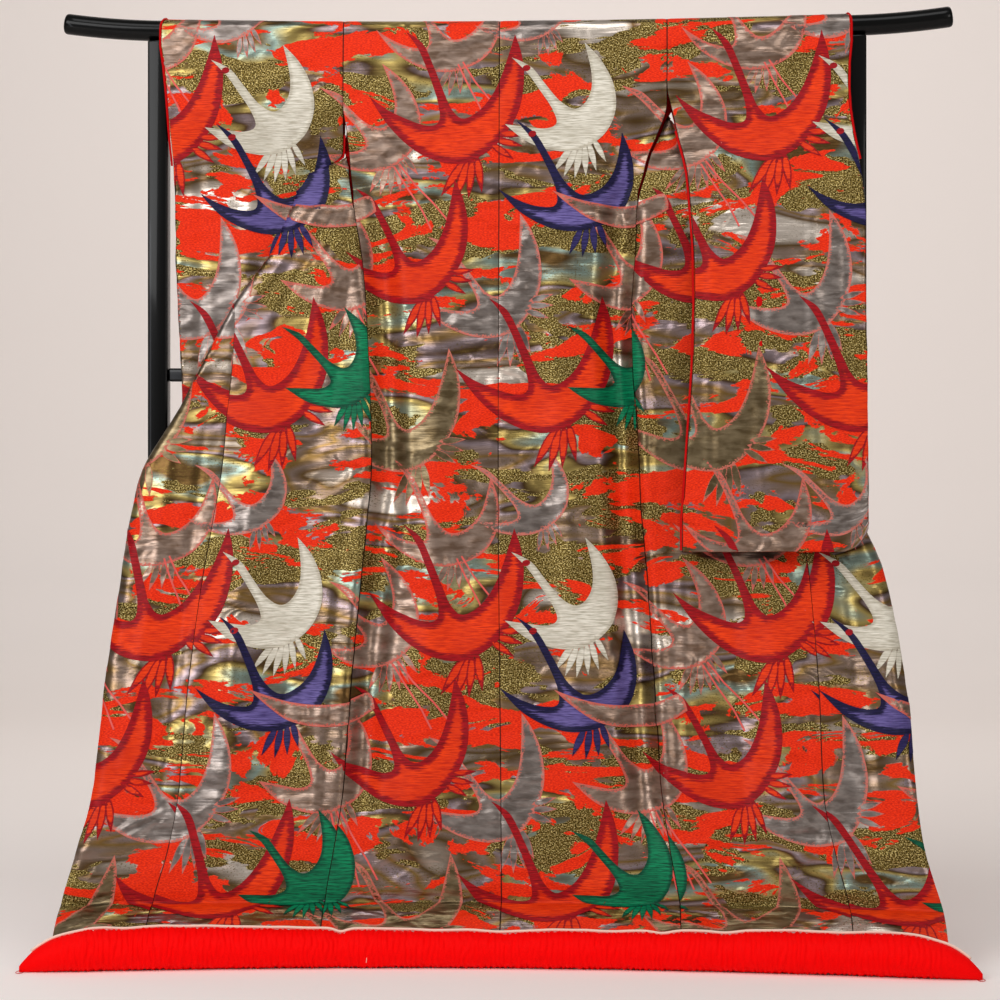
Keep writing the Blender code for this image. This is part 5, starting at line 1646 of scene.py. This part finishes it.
def lay_thread(name, points, radius, material):
    """One thread along its points, which are measured from the rack's middle."""
    curve = bpy.data.curves.new(name, "CURVE")
    curve.dimensions = "3D"
    curve.bevel_depth = radius
    curve.bevel_resolution = 2
    curve.materials.append(material)
    spline = curve.splines.new("NURBS")
    spline.points.add(len(points) - 1)
    for spot, (x, y, z) in zip(spline.points, points):
        spot.co = (x, y + RACK_SETBACK, z, 1)
    spline.use_endpoint_u = True
    spline.order_u = 4
    item = bpy.data.objects.new(name, curve)
    bpy.context.scene.collection.objects.link(item)
    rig.ride(item, "root")


def build_threads(silk, cream):
    """The loops of thread at the roll's tips and one loose thread over its middle."""
    tip_y, _, _ = roll_centre(HALF_WIDTH)
    for side, word in ((LEFT, "left"), (RIGHT, "right")):
        points = [(side * (HALF_WIDTH + out), tip_y - forward, z) for out, forward, z in LOOP]
        lay_thread("tip_loop_" + word, points, LOOP_RADIUS, silk)
    y, z, radius = roll_centre(LOOSE_X)
    lay_thread("loose_thread", [
        (LOOSE_X - 0.003, y + 0.006, z + radius + 0.002),
        (LOOSE_X - 0.002, y - radius * 0.8, z + radius * 0.7),
        (LOOSE_X + 0.002, y - radius - 0.002, z),
        (LOOSE_X - 0.001, y - radius * 0.85, z - radius * 0.6)], LOOSE_RADIUS, cream)


# The floor and its turned-up end, as Y and Z of each bend
STAGE_HALF_WIDTH = 9.0
STAGE_BENDS = (
    (-9.0, 0.0), (5.4, 0.0), (5.9, 0.06), (6.3, 0.22), (6.6, 0.5), (6.75, 0.95), (6.8, 1.6), (6.8, 7.0),
)

# Lights, each aimed at the garment or at the backdrop, with their power in watts
Light = namedtuple("Light", "name place size power tint aim")
GARMENT_AIM = Vector((0, -0.1, 0.95))
BACKDROP_AIM = Vector((0, 6.6, 0.9))
LIGHTS = (
    Light("key", Vector((-2.4, -3.8, 3.0)), (2.2, 2.0), 86, "FFFFFF", GARMENT_AIM),
    Light("fill", Vector((2.8, -3.8, 2.2)), (1.4, 1.8), 34, "FFFAF5", GARMENT_AIM),
    Light("top", Vector((0.0, -1.6, 3.9)), (2.6, 1.2), 36, "FFFFFF", GARMENT_AIM),
    Light("strip", Vector((-1.9, -2.6, 1.1)), (0.2, 2.0), 6, "F4F6FF", GARMENT_AIM),
    Light("backdrop", Vector((0.0, 2.4, 4.8)), (5.5, 1.2), 105, "FFF4EE", BACKDROP_AIM),
)
WORLD_TONE = "F4F0EC"
WORLD_STRENGTH = 0.29

# Camera: 528 pixels to a metre at the rack, seen from 5 m, in a picture 1000 pixels wide
PIXELS_PER_METRE = 528
CAMERA_DISTANCE = 5.0
CAMERA_HEIGHT = 0.84
CAMERA_TURN = math.radians(2.6)
CAMERA_AIM_X = -0.010
SENSOR_WIDTH = 36
PICTURE_WIDTH = 1000


def add_backdrop():
    """A pale pinkish studio floor of matt painted board, which turns up behind the rack."""
    material, tree = new_material("studio")
    finish_surface(tree, {"Base Color": linear("FFFAF7"), "Roughness": 0.85, "Specular IOR Level": 0.1})
    points = [(x, y, z) for x in (-STAGE_HALF_WIDTH, STAGE_HALF_WIDTH) for y, z in STAGE_BENDS]
    count = len(STAGE_BENDS)
    faces = [(bend, bend + count, bend + count + 1, bend + 1) for bend in range(count - 1)]
    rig.stage(make_item("studio", points, faces, (material,)))


def add_lights():
    for light in LIGHTS:
        lamp = bpy.data.lights.new(light.name, "AREA")
        lamp.shape = "RECTANGLE"
        lamp.size, lamp.size_y = light.size
        lamp.energy = light.power
        lamp.color = linear(light.tint)[:3]
        item = bpy.data.objects.new(light.name, lamp)
        item.location = light.place
        item.rotation_euler = (light.aim - light.place).to_track_quat("-Z", "Y").to_euler()
        item.visible_camera = False
        bpy.context.scene.collection.objects.link(item)
        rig.stage(item)
    world = bpy.data.worlds.new("studio")
    world.use_nodes = True
    background = world.node_tree.nodes["Background"]
    background.inputs["Color"].default_value = linear(WORLD_TONE)
    background.inputs["Strength"].default_value = WORLD_STRENGTH
    bpy.context.scene.world = world


def add_camera():
    lens = bpy.data.cameras.new("camera")
    lens.sensor_width = SENSOR_WIDTH
    lens.lens = SENSOR_WIDTH * PIXELS_PER_METRE * CAMERA_DISTANCE / PICTURE_WIDTH
    camera = bpy.data.objects.new("camera", lens)
    camera.location = (CAMERA_AIM_X + CAMERA_DISTANCE * math.sin(CAMERA_TURN),
                       RACK_SETBACK - CAMERA_DISTANCE * math.cos(CAMERA_TURN), CAMERA_HEIGHT)
    camera.rotation_euler = (math.radians(90), 0, CAMERA_TURN)
    bpy.context.scene.collection.objects.link(camera)
    bpy.context.scene.camera = camera
    bpy.context.scene.view_settings.view_transform = "Standard"


def thread_materials():
    """Every kind of thread and flat foil in the cranes, with the width of its border."""
    return {
        "red_thread": make_thread("vermilion_float_thread", "F2420A", "C42404", "74030C", "A80A16", 0.0125),
        "white_thread": make_thread("white_float_thread", "E9E4D6", "B3AC9A", "9F9684", "CFC8B6", 0.005),
        "purple_thread": make_thread("violet_float_thread", "7266A6", "41376C", "0B0926", "1D1844", 0.011),
        "navy_thread": make_thread("navy_float_thread", "3A3268", "191440", "0B0926", "1D1844", 0.003),
        "green_thread": make_thread("green_float_thread", "058A5A", "014A32", "013424", "02583C", 0.005),
        "rose_foil": make_flat_foil("rosy_flat_foil", "745C4C", "A08A7C", "C65C4E", 0.0040),
        "taupe_foil": make_flat_foil("taupe_flat_foil", "5E4E34", "8A795C", "BE6250", 0.0038),
        "silver_foil": make_flat_foil("silver_flat_foil", "6A605A", "968C86", "C4685A", 0.0040),
        "rose_line": make_flat_foil("rosy_outline_thread", "D85A50", "D85A50", "DC544C", 0.02),
    }


def hang_side(side, word, brocade, collar_brocade, lining, threads):
    """The panels, sleeve and collar of one side, each as a sheet over the bar."""
    rests_on = ["top_bar_lacquered"]
    sleeve_shift = RIGHT_SLEEVE_SHIFT if side == RIGHT else 0.0
    panels = (
        (back_cloth(side, "back_panel_" + word), "back_" + word, (0.31, 1.70), {}, 0.0),
        (front_cloth(side, "front_panel_" + word), "front_" + word, (0.30, 1.72), {}, 0.0),
        (okumi_cloth(side, "okumi_panel_" + word), "okumi_" + word, (0.16, 1.30), {"area": 0.18}, 0.0),
        (sleeve_cloth(side, "sleeve_bag_" + word), "sleeve_" + word, (0.34, 2.02), {}, sleeve_shift),
    )
    for cloth, node, flat, cut, shift in panels:
        item = build_cloth(cloth, brocade, lining, node, "brocade")
        cranes = fly_cranes(cloth, threads, shift)
        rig.sheet(item, flat=flat, held="hung", rests_on=rests_on, with_pieces=cranes, **cut)
    collar = collar_cloth(side, "collar_band_" + word)
    item = build_cloth(collar, collar_brocade, lining, "collar_" + word, "collar_brocade", COLLAR_WALL)
    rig.sheet(item, flat=(COLLAR_WIDTH, 0.98), held="folded", rests_on=rests_on)
    for node in ("cuff_" + word, "inner_edge_" + word):
        materials = frame["nodes"][node].data.materials
        materials.clear()
        materials.append(lining)


def main():
    lacquer = make_lacquer("black_lacquer", 111.1)
    lining = make_silk("red_silk_lining", "C00A0C", 0.55, 1.111, 0.1)
    padding = make_silk("gathered_red_padded_silk", "FF0203", 0.65, 1.429, 0.0)
    piping_silk = make_silk("cream_silk_piping", "F6DCCB", 0.6, 1.111, 0.1)
    brocade = make_brocade("silk_and_foil_brocade", 0.535)
    collar_brocade = make_brocade("collar_foil_brocade", 0.60)
    threads = thread_materials()
    for side, word in ((LEFT, "left"), (RIGHT, "right")):
        hang_side(side, word, brocade, collar_brocade, lining, threads)
    build_roll(padding, piping_silk)
    build_threads(lining, piping_silk)
    build_rack(lacquer)
    add_backdrop()
    add_lights()
    add_camera()
    visual_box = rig.bounds()
    with open("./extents.json", "w") as sizes:
        json.dump({"cad": [list(corner) for corner in cad_box],
                   "visual": [list(corner) for corner in visual_box]}, sizes)


main()
